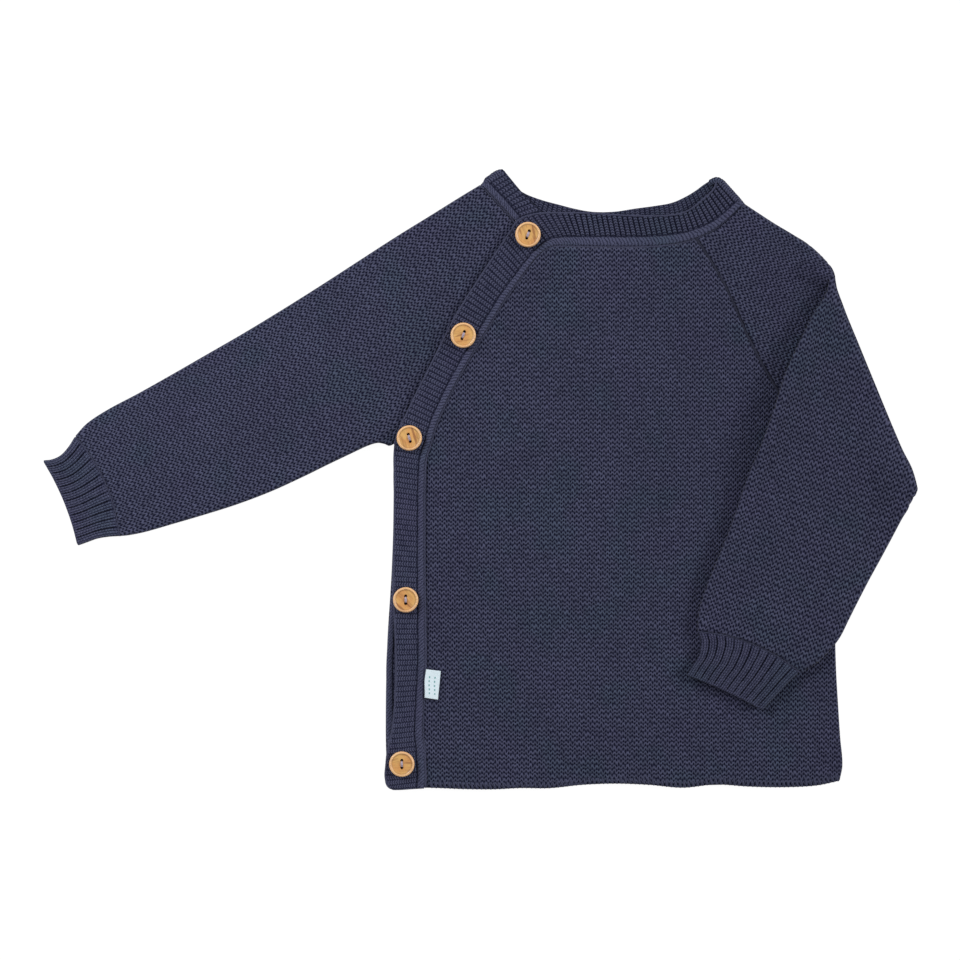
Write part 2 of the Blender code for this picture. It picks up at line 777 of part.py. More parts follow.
def ring_stations(size, stations, inner=False):
    """Shares across a wall with the share of the half height at each."""
    if inner:
        inset = EDGE_INSETS[-1][0] / size
        return [(inset, 1.0)] + [(f, 1.0) for f in stations] + [(1 - inset, 1.0)]
    first = [(d / size, h) for d, h in EDGE_INSETS]
    last = [(1 - d / size, h) for d, h in reversed(EDGE_INSETS)]
    return first + [(f, 1.0) for f in stations] + last


def tube_ring(front, back, place, puff_front, puff_back, stations=WALL_STATIONS,
              inner_stations=INNER_STATIONS, relief=None):
    """Outer and inner loop of a flattened tube.
    front, back: plan paths of its two walls; place(x, y, f, q) gives the point q above the middle."""
    half = TUBE / 2
    size = math.hypot(front(1)[0] - front(0)[0], front(1)[1] - front(0)[1])

    def swell(f, puff):
        return puff * (1 - (2 * f - 1) ** 2)

    def wall(path, sign, puff, inner):
        points = []
        table = inner_stations if inner else stations
        rows = ([(f, 1.0) for f in table] if relief else ring_stations(size, table, inner))
        for k, (f, share) in enumerate(rows):
            q = (GAP / 2 if inner else half * share) + swell(f, puff)
            if relief and not inner and k % 2 == 0:
                q -= relief
            x, y = path(f)
            points.append(place(x, y, f, sign * q))
        return points

    def loop(inner):
        top = wall(front, 1, puff_front, inner)
        low = wall(back, -1, puff_back, inner)
        if inner:
            return top + list(reversed(low))
        a, b = front(0), front(1)
        return [place(a[0], a[1], 0.0, 0.0)] + top + [place(b[0], b[1], 1.0, 0.0)] + list(reversed(low))
    return loop(False), loop(True)


def moved(ring, toward, amount):
    """Ring shifted a set amount toward the next one."""
    result = []
    for loop, target in zip(ring, toward):
        points = []
        for p, q in zip(loop, target):
            d = math.dist(p, q) or 1.0
            points.append(tuple(a + (b - a) * amount / d for a, b in zip(p, q)))
        result.append(points)
    return tuple(result)


def tube(name, rings, colour):
    """Hollow body through rings of an outer and an inner loop, open at both ends."""
    outer, inner = len(rings[0][0]), len(rings[0][1])
    size = outer + inner
    verts = [p for ring in rings for loop in ring for p in loop]
    faces = []
    for k in range(len(rings) - 1):
        for start, count, flip in ((0, outer, False), (outer, inner, True)):
            for i in range(count):
                a, b = k * size + start + i, k * size + start + (i + 1) % count
                quad = (a, a + size, b + size, b)
                faces.append(tuple(reversed(quad)) if flip else quad)
    for k, flip in ((0, False), (len(rings) - 1, True)):
        big, small = rings[k]
        match = [min(range(outer), key=lambda i: math.dist(big[i], p)) for p in small]
        for i in range(inner):
            j = (i + 1) % inner
            a, b = match[i], match[j]
            arc = [b]
            while arc[-1] != a:
                arc.append((arc[-1] - 1) % outer)
            face = [k * size + outer + i, k * size + outer + j] + [k * size + m for m in arc]
            faces.append(tuple(reversed(face)) if flip else tuple(face))
    return solid(name, verts, faces, colour)


def flat_place(base, facing=1):
    """Point q above the middle of a tube lying on base; facing -1 when it is turned over."""
    def place(x, y, f, q):
        return x, y, base(x, y) + TUBE / 2 + facing * q
    return place


def right_sleeve():
    start, end = RIGHT_SLEEVE[0][:2], RIGHT_SLEEVE[0][2:4]
    turn = SLEEVE_CORNER
    front = two_part(between(UNDER_SEAM, start, turn), between(UNDER_SEAM, turn, end))
    back = two_part(between(BACK_SEAM, start, BACK_RAGLAN[0]), BACK_RAGLAN)
    place = flat_place(floor_base)
    rings = []
    for row in RIGHT_SLEEVE:
        a, b, share, bow, puff = row[:2], row[2:4], row[4], row[5], row[6]

        def path(f, shape, a=a, b=b, share=share, bow=bow):
            x, y = bowed(a, b, f, bow)
            sx, sy = mix(start, end, f)
            px, py = shape(f)
            return x + share * (px - sx), y + share * (py - sy)
        rings.append(tube_ring(lambda f: path(f, front), lambda f: path(f, back), place, puff, 0.0))
    rings[0] = moved(rings[0], rings[1], 5.2 * SEAM)
    rings[-1] = moved(rings[-1], rings[-2], SEAM)
    return tube("right_sleeve", rings, NAVY)


def left_sleeve():
    start, end = LEFT_SLEEVE_LOWER[0][:2], LEFT_SLEEVE_LOWER[0][2:4]
    front = two_part(between(FRONT_SEAM, start, RAGLAN[0]), RAGLAN)
    back = two_part(between(BACK_SEAM, start, RAGLAN[0]), RAGLAN)
    place = flat_place(floor_base)
    rings = []
    for row in LEFT_SLEEVE_LOWER:
        a, b, share = row[:2], row[2:4], row[4]

        def path(f, shape, a=a, b=b, share=share):
            x, y = mix(a, b, f)
            sx, sy = mix(start, end, f)
            px, py = shape(f)
            return x + share * (px - sx), y + share * (py - sy)
        rings.append(tube_ring(lambda f: path(f, front), lambda f: path(f, back), place, 0.0, 0.0))
    rings[0] = moved(rings[0], rings[1], 3.6 * SEAM)

    _, axis = track(FOLD_LINE)
    for degrees in TURN_ANGLES:
        turn = degrees / 180.0
        low, high = 0.09 * ease(turn), 0.94 + 0.06 * turn
        angle = math.radians(degrees)

        def line(f, low=low, high=high):
            return axis(low + (high - low) * f)

        def turned(x, y, f, q, low=low, high=high, angle=angle):
            g = low + (high - low) * f
            (ax, ay), (bx, by) = axis(g - 0.01), axis(g + 0.01)
            tx, ty = unit(bx - ax, by - ay)
            reach = (TUBE + GAP) / 2 - q
            return (x - ty * reach * math.sin(angle), y + tx * reach * math.sin(angle),
                    TUBE + GAP / 2 - reach * math.cos(angle))
        rings.append(tube_ring(line, line, turned, 0.0, 0.0))

    for row in LEFT_SLEEVE_UPPER:
        a, b, bow, puff, sag = row[:2], row[2:4], row[5], row[6], min(1.0, row[6] * 1.4)

        def path(f, a=a, b=b, bow=bow):
            return bowed(a, b, f, bow)
        sag = 1.0 if bow else sag
        place = flat_place(lambda x, y, s=sag: folded_base(x, y, s), -1)
        rings.append(tube_ring(path, path, place, 0.0, puff))
    rings[-1] = moved(rings[-1], rings[-2], SEAM)
    return tube("left_sleeve", rings, NAVY)


def cuff(name, table, base, facing):
    steps = 2 * CUFF_RIBS
    stations = tuple(k / steps for k in range(1, steps))
    inner = tuple(k / steps for k in (1, 6, 12, 18, steps - 1))
    place = flat_place(base, facing)
    rings = []
    for tx, ty, ux, uy, bow, puff, pinch in table:
        def path(f, a=(tx, ty), b=(ux, uy), bow=bow):
            return bowed(a, b, f, bow)
        swell = (puff, 0.0) if facing > 0 else (0.0, puff)
        rings.append(tube_ring(path, path, place, swell[0], swell[1], stations, inner, CUFF_DEPTH))
    rings[0] = moved(rings[0], rings[1], SEAM)
    return tube(name, rings, NAVY_RIB)


# ---------------------------------------------------------------- buttons and label

def apply_modifiers(obj):
    bpy.context.view_layer.update()
    graph = bpy.context.evaluated_depsgraph_get()
    mesh = bpy.data.meshes.new_from_object(obj.evaluated_get(graph))
    obj.modifiers.clear()
    obj.data = mesh


def button(index, x, y, hole_line, cutters):
    name = "button_%d" % index
    mesh = bpy.data.meshes.new(name)
    points = [(r * MM, 0.0, h * MM) for r, h in BUTTON_PROFILE]
    mesh.from_pydata(points, [(k, k + 1) for k in range(len(points) - 1)], [])
    obj = bpy.data.objects.new(name, mesh)
    bpy.context.scene.collection.objects.link(obj)
    turn = obj.modifiers.new("turned", 'SCREW')
    turn.steps = turn.render_steps = BUTTON_STEPS
    turn.use_merge_vertices = True
    turn.merge_threshold = 0.00001
    top = front_base(x, y) + KNIT + GAP
    obj.location = (x * MM, y * MM, top * MM)
    apply_modifiers(obj)
    bm = bmesh.new()
    bm.from_mesh(obj.data)
    bmesh.ops.remove_doubles(bm, verts=bm.verts, dist=0.00001)
    bmesh.ops.recalc_face_normals(bm, faces=bm.faces)
    bm.to_mesh(obj.data)
    bm.free()
    angle = math.radians(hole_line)
    for side in (-1, 1):
        hx = x + side * math.cos(angle) * HOLE_APART / 2
        hy = y + side * math.sin(angle) * HOLE_APART / 2
        bpy.ops.mesh.primitive_cylinder_add(vertices=8, radius=HOLE_WIDE / 2 * MM, depth=8 * MM,
                                            location=(hx * MM, hy * MM, (top + 1.5) * MM),
                                            rotation=(0, 0, HOLE_TURN))
        pin = bpy.context.active_object
        pin.name = "hole_%d_%s" % (index, "a" if side < 0 else "b")
        for owner in list(pin.users_collection):
            owner.objects.unlink(pin)
        cutters.objects.link(pin)
        pin.hide_render = True
        pin.display_type = 'WIRE'
        cut = obj.modifiers.new("hole", 'BOOLEAN')
        cut.operation = 'DIFFERENCE'
        cut.solver = 'EXACT'
        cut.object = pin
    obj.data.materials.clear()
    obj.data.materials.append(material(name + "_material", WOOD, 0.45))
    return obj


def side_label():
    """Folded ribbon caught in the seam, lying on the front; its fold is away from the seam."""
    low_seam, low_fold, high_fold, high_seam = LABEL[3], LABEL[2], LABEL[1], LABEL[0]
    leaf = LABEL_LEAF
    tall = 3 * leaf
    sections = []
    for t in (0.0, 0.33, 0.67, 1.0):
        a, b = mix(low_seam, high_seam, t), mix(low_fold, high_fold, t)
        width = math.hypot(b[0] - a[0], b[1] - a[1])
        shape = ((0.0, 0.0), (0.5, 0.0), (1 - 0.4 / width, 0.0), (1.0, tall / 2),
                 (1 - 0.4 / width, tall), (0.5, tall), (0.0, tall), (0.0, tall - leaf),
                 (0.5, tall - leaf), (1 - 0.8 / width, tall - leaf), (1 - 0.8 / width, leaf),
                 (0.5, leaf), (0.0, leaf))
        ring = []
        for share, high in shape:
            x, y = mix(a, b, share)
            ring.append((x, y, front_base(x, y) + KNIT + GAP + high))
        sections.append(ring)
    return sweep("side_label", sections, RIBBON)


def main():
    for obj in list(bpy.data.objects):
        bpy.data.objects.remove(obj, do_unlink=True)
    cutters = bpy.data.collections.new("cutters")
    bpy.context.scene.collection.children.link(cutters)
    back_panel()
    front_panel()
    right_sleeve()
    left_sleeve()
    cuff("right_cuff", RIGHT_CUFF, floor_base, 1)
    cuff("left_cuff", LEFT_CUFF, folded_base, -1)
    front_band()
    under_band()
    back_band()
    for index, (x, y, line) in enumerate(BUTTONS, 1):
        button(index, x, y, line, cutters)
    side_label()


main()
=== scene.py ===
import math

import bmesh
import bpy
import numpy as np
from bpy.props import FloatProperty, FloatVectorProperty, IntProperty, PointerProperty
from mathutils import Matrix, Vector
from mathutils.bvhtree import BVHTree
from mathutils.geometry import delaunay_2d_cdt
from mathutils.kdtree import KDTree


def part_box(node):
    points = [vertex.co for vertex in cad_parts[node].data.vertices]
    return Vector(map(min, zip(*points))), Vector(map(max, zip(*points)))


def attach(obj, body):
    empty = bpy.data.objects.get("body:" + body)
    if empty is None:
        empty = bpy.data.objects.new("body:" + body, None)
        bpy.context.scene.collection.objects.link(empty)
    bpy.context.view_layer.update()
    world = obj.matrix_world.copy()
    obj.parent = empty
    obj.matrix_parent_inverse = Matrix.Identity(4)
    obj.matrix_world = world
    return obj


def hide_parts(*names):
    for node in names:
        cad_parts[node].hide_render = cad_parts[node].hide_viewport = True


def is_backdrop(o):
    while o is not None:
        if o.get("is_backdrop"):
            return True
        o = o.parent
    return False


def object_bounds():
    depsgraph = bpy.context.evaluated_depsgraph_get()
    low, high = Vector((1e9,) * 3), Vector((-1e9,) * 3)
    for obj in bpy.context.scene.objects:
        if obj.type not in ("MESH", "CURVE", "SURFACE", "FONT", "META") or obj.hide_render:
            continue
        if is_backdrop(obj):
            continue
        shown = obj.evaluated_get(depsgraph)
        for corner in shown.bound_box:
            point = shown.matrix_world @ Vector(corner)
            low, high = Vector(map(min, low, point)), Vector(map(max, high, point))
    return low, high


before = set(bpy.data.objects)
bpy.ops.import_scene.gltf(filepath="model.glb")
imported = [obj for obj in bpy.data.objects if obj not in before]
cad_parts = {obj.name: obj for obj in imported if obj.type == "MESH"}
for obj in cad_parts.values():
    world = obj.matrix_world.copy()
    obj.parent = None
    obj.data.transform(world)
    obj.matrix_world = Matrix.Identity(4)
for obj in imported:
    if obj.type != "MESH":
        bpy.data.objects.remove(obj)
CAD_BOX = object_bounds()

bl_info = {
    "name": "Knitted baby cardigan",
    "version": (1, 0, 0),
    "blender": (4, 5, 0),
    "location": "3D View > Sidebar > Cardigan",
    "description": "Knits, sews and buttons a baby cardigan laid flat with one sleeve folded over it",
    "category": "Mesh",
}

# Plan positions and sizes are in millimetres on the laid-out garment: x to the right, y to the neck.
MM = 0.001
BODY = "root"
UV_NAME = "stitches"

KNIT = 2.0                 # thickness of the cloth
EDGE_STEP = 1.1            # spacing of points along a cloth edge
COARSE = 3.5               # spacing of points on a side that rests on something
LATTICE_CLEAR = 0.42       # stitch points keep this far from the outline
WALL_LEAST = 1.0           # least thickness of the cloth, under its dents and hollows
WALL_EASE = 0.15           # how softly a dent eases into that
OVER_BACK = 2.3            # height of the cloth's underside where it lies on the back
SLEEVE_GAP = 0.3           # between the two sides of a sleeve
TUBE = 2 * KNIT + SLEEVE_GAP
FREE_EDGE = 0.9            # radius of the cloth's turned edge
SEAM_EDGE = 0.8            # its radius where it is sewn to another piece
SEAM_NEAR = 1.6            # how far from a seam that holds; twice as far out the edge is full again
FINE = 0.6                 # spacing of points along a line that others are measured from
TRACE = 0.4                # spacing of points while an outline is smoothed or matched
TRIM_STEP = 0.8            # spacing of points along the outline of a band, a cuff or the hem
SHORTEST = 0.35            # shorter sides of a frame's outline are passed over
QUARTER = np.linspace(0, 1, 6)[:-1] * np.pi / 2   # angles over a turned edge
CORNER = math.radians(38)  # an outline that turns more than this at one point has a corner there
UP = 0.02                  # faces whose normal rises less than this are the cloth's edge


# ---------------------------------------------------------------- settings

class CardiganKnit(bpy.types.PropertyGroup):
    """The purl-faced knit of the body and sleeves"""
    wale: FloatProperty(name="Stitch width", description="Width of one stitch", default=2.6 * MM,
                        unit="LENGTH")
    course: FloatProperty(name="Stitch height", description="Height of one row of stitches",
                          default=2.75 * MM, unit="LENGTH")
    wave: FloatProperty(name="Wave", description="Swing of a row's strand, as a share of its height",
                        default=0.24, subtype="FACTOR")
    relief: FloatProperty(name="Relief", description="Depth of the hollows between two rows",
                          default=0.62 * MM, unit="LENGTH")
    strand: FloatVectorProperty(name="Strand", description="Colour of the yarn", size=4,
                                default=(0.056, 0.060, 0.106, 1), subtype="COLOR", min=0, max=1)
    # hollow: painted shade, the near-black colour given to the hollows between the rows where shade falls
    hollow: FloatVectorProperty(name="Hollow", description="Colour deep between the strands", size=4,
                                default=(0.0034, 0.0040, 0.0190, 1), subtype="COLOR", min=0, max=1)


class CardiganRib(bpy.types.PropertyGroup):
    """The ribbed bands and cuffs"""
    pitch: FloatProperty(name="Rib pitch", description="Distance from one rib of a band to the next",
                         default=3.04 * MM, unit="LENGTH")
    depth: FloatProperty(name="Groove depth", description="Depth of the grooves between two ribs",
                         default=0.74 * MM, unit="LENGTH")
    bead: FloatProperty(name="Bead", description="Width of the chain that joins a band to the body",
                        default=4.6 * MM, unit="LENGTH")
    stitch: FloatProperty(name="Stitch", description="Height of one stitch of the rib",
                          default=1.4 * MM, unit="LENGTH")
    cuff_stitch: FloatProperty(name="Cuff stitch", description="Height of one stitch of a cuff",
                               default=1.85 * MM, unit="LENGTH")
    cuff_ribs: IntProperty(name="Cuff ribs", description="Ribs on each side of a cuff", default=12)
    strand: FloatVectorProperty(name="Strand", description="Colour of the yarn", size=4,
                                default=(0.057, 0.061, 0.109, 1), subtype="COLOR", min=0, max=1)
    # hollow: painted shade, the dark colour given to the grooves between the ribs where shade falls
    hollow: FloatVectorProperty(name="Groove", description="Colour deep between the ribs", size=4,
                                default=(0.0062, 0.0072, 0.0230, 1), subtype="COLOR", min=0, max=1)


class CardiganTrim(bpy.types.PropertyGroup):
    """Buttons, thread and label"""
    wood: FloatVectorProperty(name="Wood", description="Colour of the buttons", size=4,
                              default=(0.60, 0.285, 0.090, 1), subtype="COLOR", min=0, max=1)
    ribbon: FloatVectorProperty(name="Ribbon", description="Colour of the label", size=4,
                                default=(0.64, 0.75, 0.81, 1), subtype="COLOR", min=0, max=1)


class CardiganStage(bpy.types.PropertyGroup):
    """Floor, light and camera"""
    camera_height: FloatProperty(name="Camera height", description="Camera above the floor",
                                 default=1.45, unit="LENGTH")
    view_width: FloatProperty(name="View width", description="Width of floor that the camera sees",
                              default=0.5664, unit="LENGTH")


SETTINGS = {
    "cardigan_knit": CardiganKnit,
    "cardigan_rib": CardiganRib,
    "cardigan_trim": CardiganTrim,
    "cardigan_stage": CardiganStage,
}


# ---------------------------------------------------------------- reading the frame

class Side:
    """One side of a frame node, from the face that a plumb line meets: its plan outline and heights."""

    def __init__(self, node, spot=None, facing=1):
        mesh = bmesh.new()
        mesh.from_mesh(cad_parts[node].data)
        bmesh.ops.remove_doubles(mesh, verts=mesh.verts, dist=1e-6)
        mesh.normal_update()
        mesh.faces.ensure_lookup_table()
        if spot is None:
            region = self.widest(mesh, facing)
        else:
            plumb = Vector((spot[0] * MM, spot[1] * MM, facing))
            first = BVHTree.FromBMesh(mesh).ray_cast(plumb, Vector((0, 0, -facing)))[2]
            if first is None:
                raise RuntimeError(f"no face of {node} at {spot}")
            region = self.spread(mesh.faces[first], facing)
        self.facing = facing
        index = {}
        for face in region:
            for vert in face.verts:
                index.setdefault(vert, len(index))
        self.tree = BVHTree.FromPolygons([v.co / MM for v in index],
                                         [[index[v] for v in f.verts] for f in region])
        self.loop = self.border(region)
        mesh.free()

    @classmethod
    def widest(cls, mesh, facing):
        left = {face for face in mesh.faces if face.normal.z * facing > UP}
        best = []
        while left:
            region = cls.spread(min(left, key=lambda face: face.index), facing)
            left.difference_update(region)
            best = max(best, region, key=lambda faces: sum(f.calc_area() for f in faces))
        return best

    @staticmethod
    def spread(first, facing):
        region, waiting = {first}, [first]
        while waiting:
            for edge in waiting.pop().edges:
                for face in edge.link_faces:
                    if face not in region and face.normal.z * facing > UP:
                        region.add(face)
                        waiting.append(face)
        return sorted(region, key=lambda face: face.index)

    def border(self, region):
        """The region's outline in plan, its folds over itself taken as one."""
        members = set(region)
        edges = [(corner.vert, corner.link_loop_next.vert) for face in region for corner in face.loops
                 if sum(f in members for f in corner.edge.link_faces) == 1]
        index = {}
        for pair in edges:
            for vert in pair:
                index.setdefault(vert, len(index))

        def covered(points):
            down = Vector((0, 0, -self.facing))
            return np.array([self.tree.ray_cast(Vector((*p, self.facing * 100)), down)[0] is not None
                             for p in points])

        plan = np.array([v.co.xy for v in index]) / MM
        return union(plan, [(index[a], index[b]) for a, b in edges], covered)

    def height(self, step=3.0, clear=2.5, smooth=2):
        """Height over the plan as a Grid, read away from the rounded edges and carried out past them."""
        low, high = self.loop.min(0) - 3 * step, self.loop.max(0) + 3 * step
        count = np.ceil((high - low) / step).astype(int) + 1
        xs, ys = low[0] + step * np.arange(count[0]), low[1] + step * np.arange(count[1])
        points = np.stack(np.meshgrid(xs, ys, indexing="ij"), -1).reshape(-1, 2)
        wanted = inside(points, self.loop) & (distance(points, self.loop) > clear)
        values = np.full(len(points), np.nan)
        for i in np.nonzero(wanted)[0]:
            ray = Vector((*points[i], self.facing * 100))
            hit = self.tree.ray_cast(ray, Vector((0, 0, -self.facing)))[0]
            if hit is not None:
                values[i] = hit.z
        return Grid(low, step, fill_out(values.reshape(count), smooth))


class Grid:
    """Values on a square grid, read between its points."""

    def __init__(self, low, step, values):
        self.low, self.step, self.values = low, step, values

    def __call__(self, points):
        at = (points - self.low) / self.step
        at = np.clip(at, 0, np.array(self.values.shape) - 1.001)
        i, j = at.astype(int).T
        f, g = (at - at.astype(int)).T
        v = self.values
        return (v[i, j] * (1 - f) * (1 - g) + v[i + 1, j] * f * (1 - g)
                + v[i, j + 1] * (1 - f) * g + v[i + 1, j + 1] * f * g)


def fill_out(values, smooth):
    """Fills the empty places of a grid from their neighbours, then evens the whole out."""
    def around(a):
        wide = np.pad(a, 1, mode="edge")
        return np.stack([wide[1 + i:wide.shape[0] - 1 + i, 1 + j:wide.shape[1] - 1 + j]
                         for i in (-1, 0, 1) for j in (-1, 0, 1)])

    while np.isnan(values).any():
        near = around(values)
        known = ~np.isnan(near)
        mean = np.where(known, near, 0).sum(0) / np.maximum(known.sum(0), 1)
        mean[known.sum(0) == 0] = np.nan
        values = np.where(np.isnan(values), mean, values)
    for _ in range(smooth):
        values = around(values).mean(0)
    return values


# ---------------------------------------------------------------- plan geometry

def signed_area(loop):
    x, y = loop.T
    return (x * np.roll(y, -1) - y * np.roll(x, -1)).sum() / 2


def unit(arrows):
    return arrows / np.maximum(np.linalg.norm(arrows, axis=1), 1e-9)[:, None]


def round_off(share, least=0.0):
    """Height over a quarter round, as a share of its radius, at a share of the way in from its edge."""
    return np.sqrt(np.clip(1 - (1 - np.clip(share, 0, 1)) ** 2, least, 1))


def smooth(x, low, high):
    t = np.clip((x - low) / (high - low), 0, 1)
    return t * t * (3 - 2 * t)


def ring_edges(count, start=0):
    return [(start + i, start + (i + 1) % count) for i in range(count)]


def plan_tree(points):
    """A tree that finds the nearest of some places in plan."""
    tree = KDTree(len(points))
    for i, p in enumerate(points):
        tree.insert((*p, 0), i)
    tree.balance()
    return tree


def inside(points, loop):
    """Which points lie inside a closed outline, also where it laps over itself."""
    turns = np.zeros(len(points), int)
    x, y = points.T
    for (x0, y0), (x1, y1) in zip(loop, np.roll(loop, -1, 0)):
        if y0 == y1:
            continue
        crosses = ((y0 > y) != (y1 > y)) & (x < (x1 - x0) * (y - y0) / (y1 - y0) + x0)
        turns[crosses] += 1 if y1 > y0 else -1
    return turns != 0


def union(points, edges, covered):
    """The outer outline, turning left, of what the edges enclose and a test says is covered."""
    made = delaunay_2d_cdt([Vector(p) for p in points], edges, [], 0, 1e-4, False)
    plan, faces = np.array([tuple(p) for p in made[0]]), np.array(made[2])
    faces = faces[covered(plan[faces].mean(1))]
    sides = {(int(a), int(b)) for f in faces for a, b in zip(f, np.roll(f, -1))}
    follow = {}
    for a, b in sorted(sides):
        if (b, a) not in sides:
            follow.setdefault(a, []).append(b)
    loops = []
    while follow:
        here = min(follow)
        chain = []
        while here in follow:
            chain.append(here)
            ahead = follow[here].pop()
            if not follow[here]:
                del follow[here]
            here = ahead
        loops.append(plan[chain])
    return max(loops, key=lambda loop: abs(signed_area(loop)))


def untangled(loop):
    """An outline with its small laps over itself taken out."""
    return union(loop, ring_edges(len(loop)), lambda points: inside(points, loop))


def joined(first, second):
    """The outline of two overlapping outlines taken together."""
    edges = ring_edges(len(first)) + ring_edges(len(second), len(first))
    return union(np.vstack([first, second]), edges,
                 lambda points: inside(points, first) | inside(points, second))


def stretch(loop, start, end):
    """The part of an outline, turning left, from nearest one point to nearest another."""
    first, last = (int(np.argmin(np.linalg.norm(loop - np.array(p), axis=1))) for p in (start, end))
    return np.roll(loop, -first, 0)[:(last - first) % len(loop) + 1]


def drawn_to(loop, line, reach):
    """An outline whose points near a line are moved onto it."""
    away, place = nearest_on(loop, resample(line, 0.5, closed=False))
    return untangled(np.where((away < reach)[:, None], place, loop))


def distance(points, loop):
    """Distance of each point to an outline, near enough for points close to it."""
    tree = plan_tree(resample(loop, 0.5))
    return np.array([tree.find((*p, 0))[2] for p in points])


def run_of(line):
    """How far along a line each of its points is."""
    return np.concatenate([[0], np.cumsum(np.linalg.norm(np.diff(line, axis=0), axis=1))])


def at_run(line, run, at):
    return np.stack([np.interp(at, run, line[:, k]) for k in (0, 1)], -1)


def resample(line, step, closed=True):
    """Points at an even spacing along a line."""
    path = np.vstack([line, line[:1]]) if closed else line
    run = run_of(path)
    count = max(3, int(round(run[-1] / step)))
    even = at_run(path, run, np.linspace(0, run[-1], count + 1))
    return even[:-1] if closed else even


def rounded(loop, step):
    """A smooth outline through the frame's points, with its corners kept."""
    loop = loop[np.linalg.norm(np.roll(loop, -1, 0) - loop, axis=1) > SHORTEST]
    before, after = np.roll(loop, 1, 0), np.roll(loop, -1, 0)
    a, b = loop - before, after - loop
    turn = np.abs(np.arctan2(a[:, 0] * b[:, 1] - a[:, 1] * b[:, 0], (a * b).sum(1)))
    near = np.linalg.norm(a, axis=1) + np.linalg.norm(b, axis=1)
    corner = turn > CORNER
    slope = (after - before) / np.maximum(near, 1e-9)[:, None]
    dense = []
    for i in range(len(loop)):
        j = (i + 1) % len(loop)
        p, q = loop[i], loop[j]
        length = np.linalg.norm(q - p)
        straight = (q - p) / length
        m0 = straight if corner[i] else slope[i]
        m1 = straight if corner[j] else slope[j]
        for t in np.linspace(0, 1, max(2, int(length / TRACE)), endpoint=False):
            h = np.array([2 * t**3 - 3 * t**2 + 1, t**3 - 2 * t**2 + t, 3 * t**2 - 2 * t**3, t**3 - t**2])
            dense.append(h[0] * p + h[1] * length * m0 + h[2] * q + h[3] * length * m1)
    return resample(untangled(np.array(dense)), step)


# ---------------------------------------------------------------- knitting

class Lay:
    """How the rows of stitches run over a piece: a start, a heading, and how both fan out."""

    def __init__(self, start, heading, wale=2.6, course=2.75, bend=0j, skew=0.0):
        self.start = complex(*start)
        self.turn = complex(math.cos(math.radians(heading)), math.sin(math.radians(heading)))
        self.wale, self.course, self.bend = wale, course, bend
        self.skew = math.tan(math.radians(skew))

    def to_plan(self, u, v):
        across = u * self.wale
        w = v * self.course + self.skew * across + 1j * across
        z = self.start + self.turn * (w + 0.5 * self.bend * w * w)
        return np.stack([z.real, z.imag], 1)

    def to_stitch(self, points):
        z = (points[:, 0] + 1j * points[:, 1] - self.start) / self.turn
        w = z if self.bend == 0 else (np.sqrt(1 + 2 * self.bend * z) - 1) / self.bend
        across = w.imag
        return np.stack([across / self.wale, (w.real - self.skew * across) / self.course], 1)

    def lattice(self, loop, wave):
        """Stitch points over an outline: on each strand and in each hollow, four to a stitch."""
        reach = self.to_stitch(loop)
        low, high = np.floor(reach.min(0)) - 4, np.ceil(reach.max(0)) + 4
        u, row = np.meshgrid(np.arange(low[0], high[0], 0.25), np.arange(low[1], high[1], 0.5))
        u, row = u.ravel(), row.ravel()
        v = row - wave * np.cos(2 * np.pi * u) - strayed(u, row)
        points = self.to_plan(u, v)
        hollow = (np.abs(row - np.round(row)) > 0.25)
        depth = np.where(hollow, 0.62 + 0.38 * np.cos(4 * np.pi * u), 0.0)
        box = (points > loop.min(0)).all(1) & (points < loop.max(0)).all(1)
        return points[box], np.stack([u, v], 1)[box], depth[box]


def plain_points(loop, radius):
    """Points for a plain side: two lines along its turned edge, and a wide lattice. Second, how
    clear of the outline each has to be."""
    lines = [offset(loop, radius * share) for share in (0.45, 1.0)]
    clear = [radius * share * 0.93 for share in (0.45, 1.0)]
    low, high = loop.min(0), loop.max(0)
    x, y = np.meshgrid(np.arange(low[0], high[0], COARSE), np.arange(low[1], high[1], COARSE * 0.87))
    x[1::2] += COARSE / 2
    lines.append(np.stack([x.ravel(), y.ravel()], 1))
    clear.append(np.full(x.size, radius.max() + COARSE * 0.3))
    return np.vstack(lines), np.concatenate(clear)


def join_up(points, ring):
    """Triangles between a ring of border points, which come first, and the points inside it."""
    made = delaunay_2d_cdt([Vector(p) for p in points], ring_edges(ring), [], 1, 1e-5, True)
    old = np.array([ids[0] for ids in made[3]])
    faces = old[np.array(made[2])]
    spans = np.nonzero((faces < ring).all(1))[0]
    beyond = ~inside(points[faces[spans]].mean(1), points[:ring])
    return np.delete(faces, spans[beyond], 0)


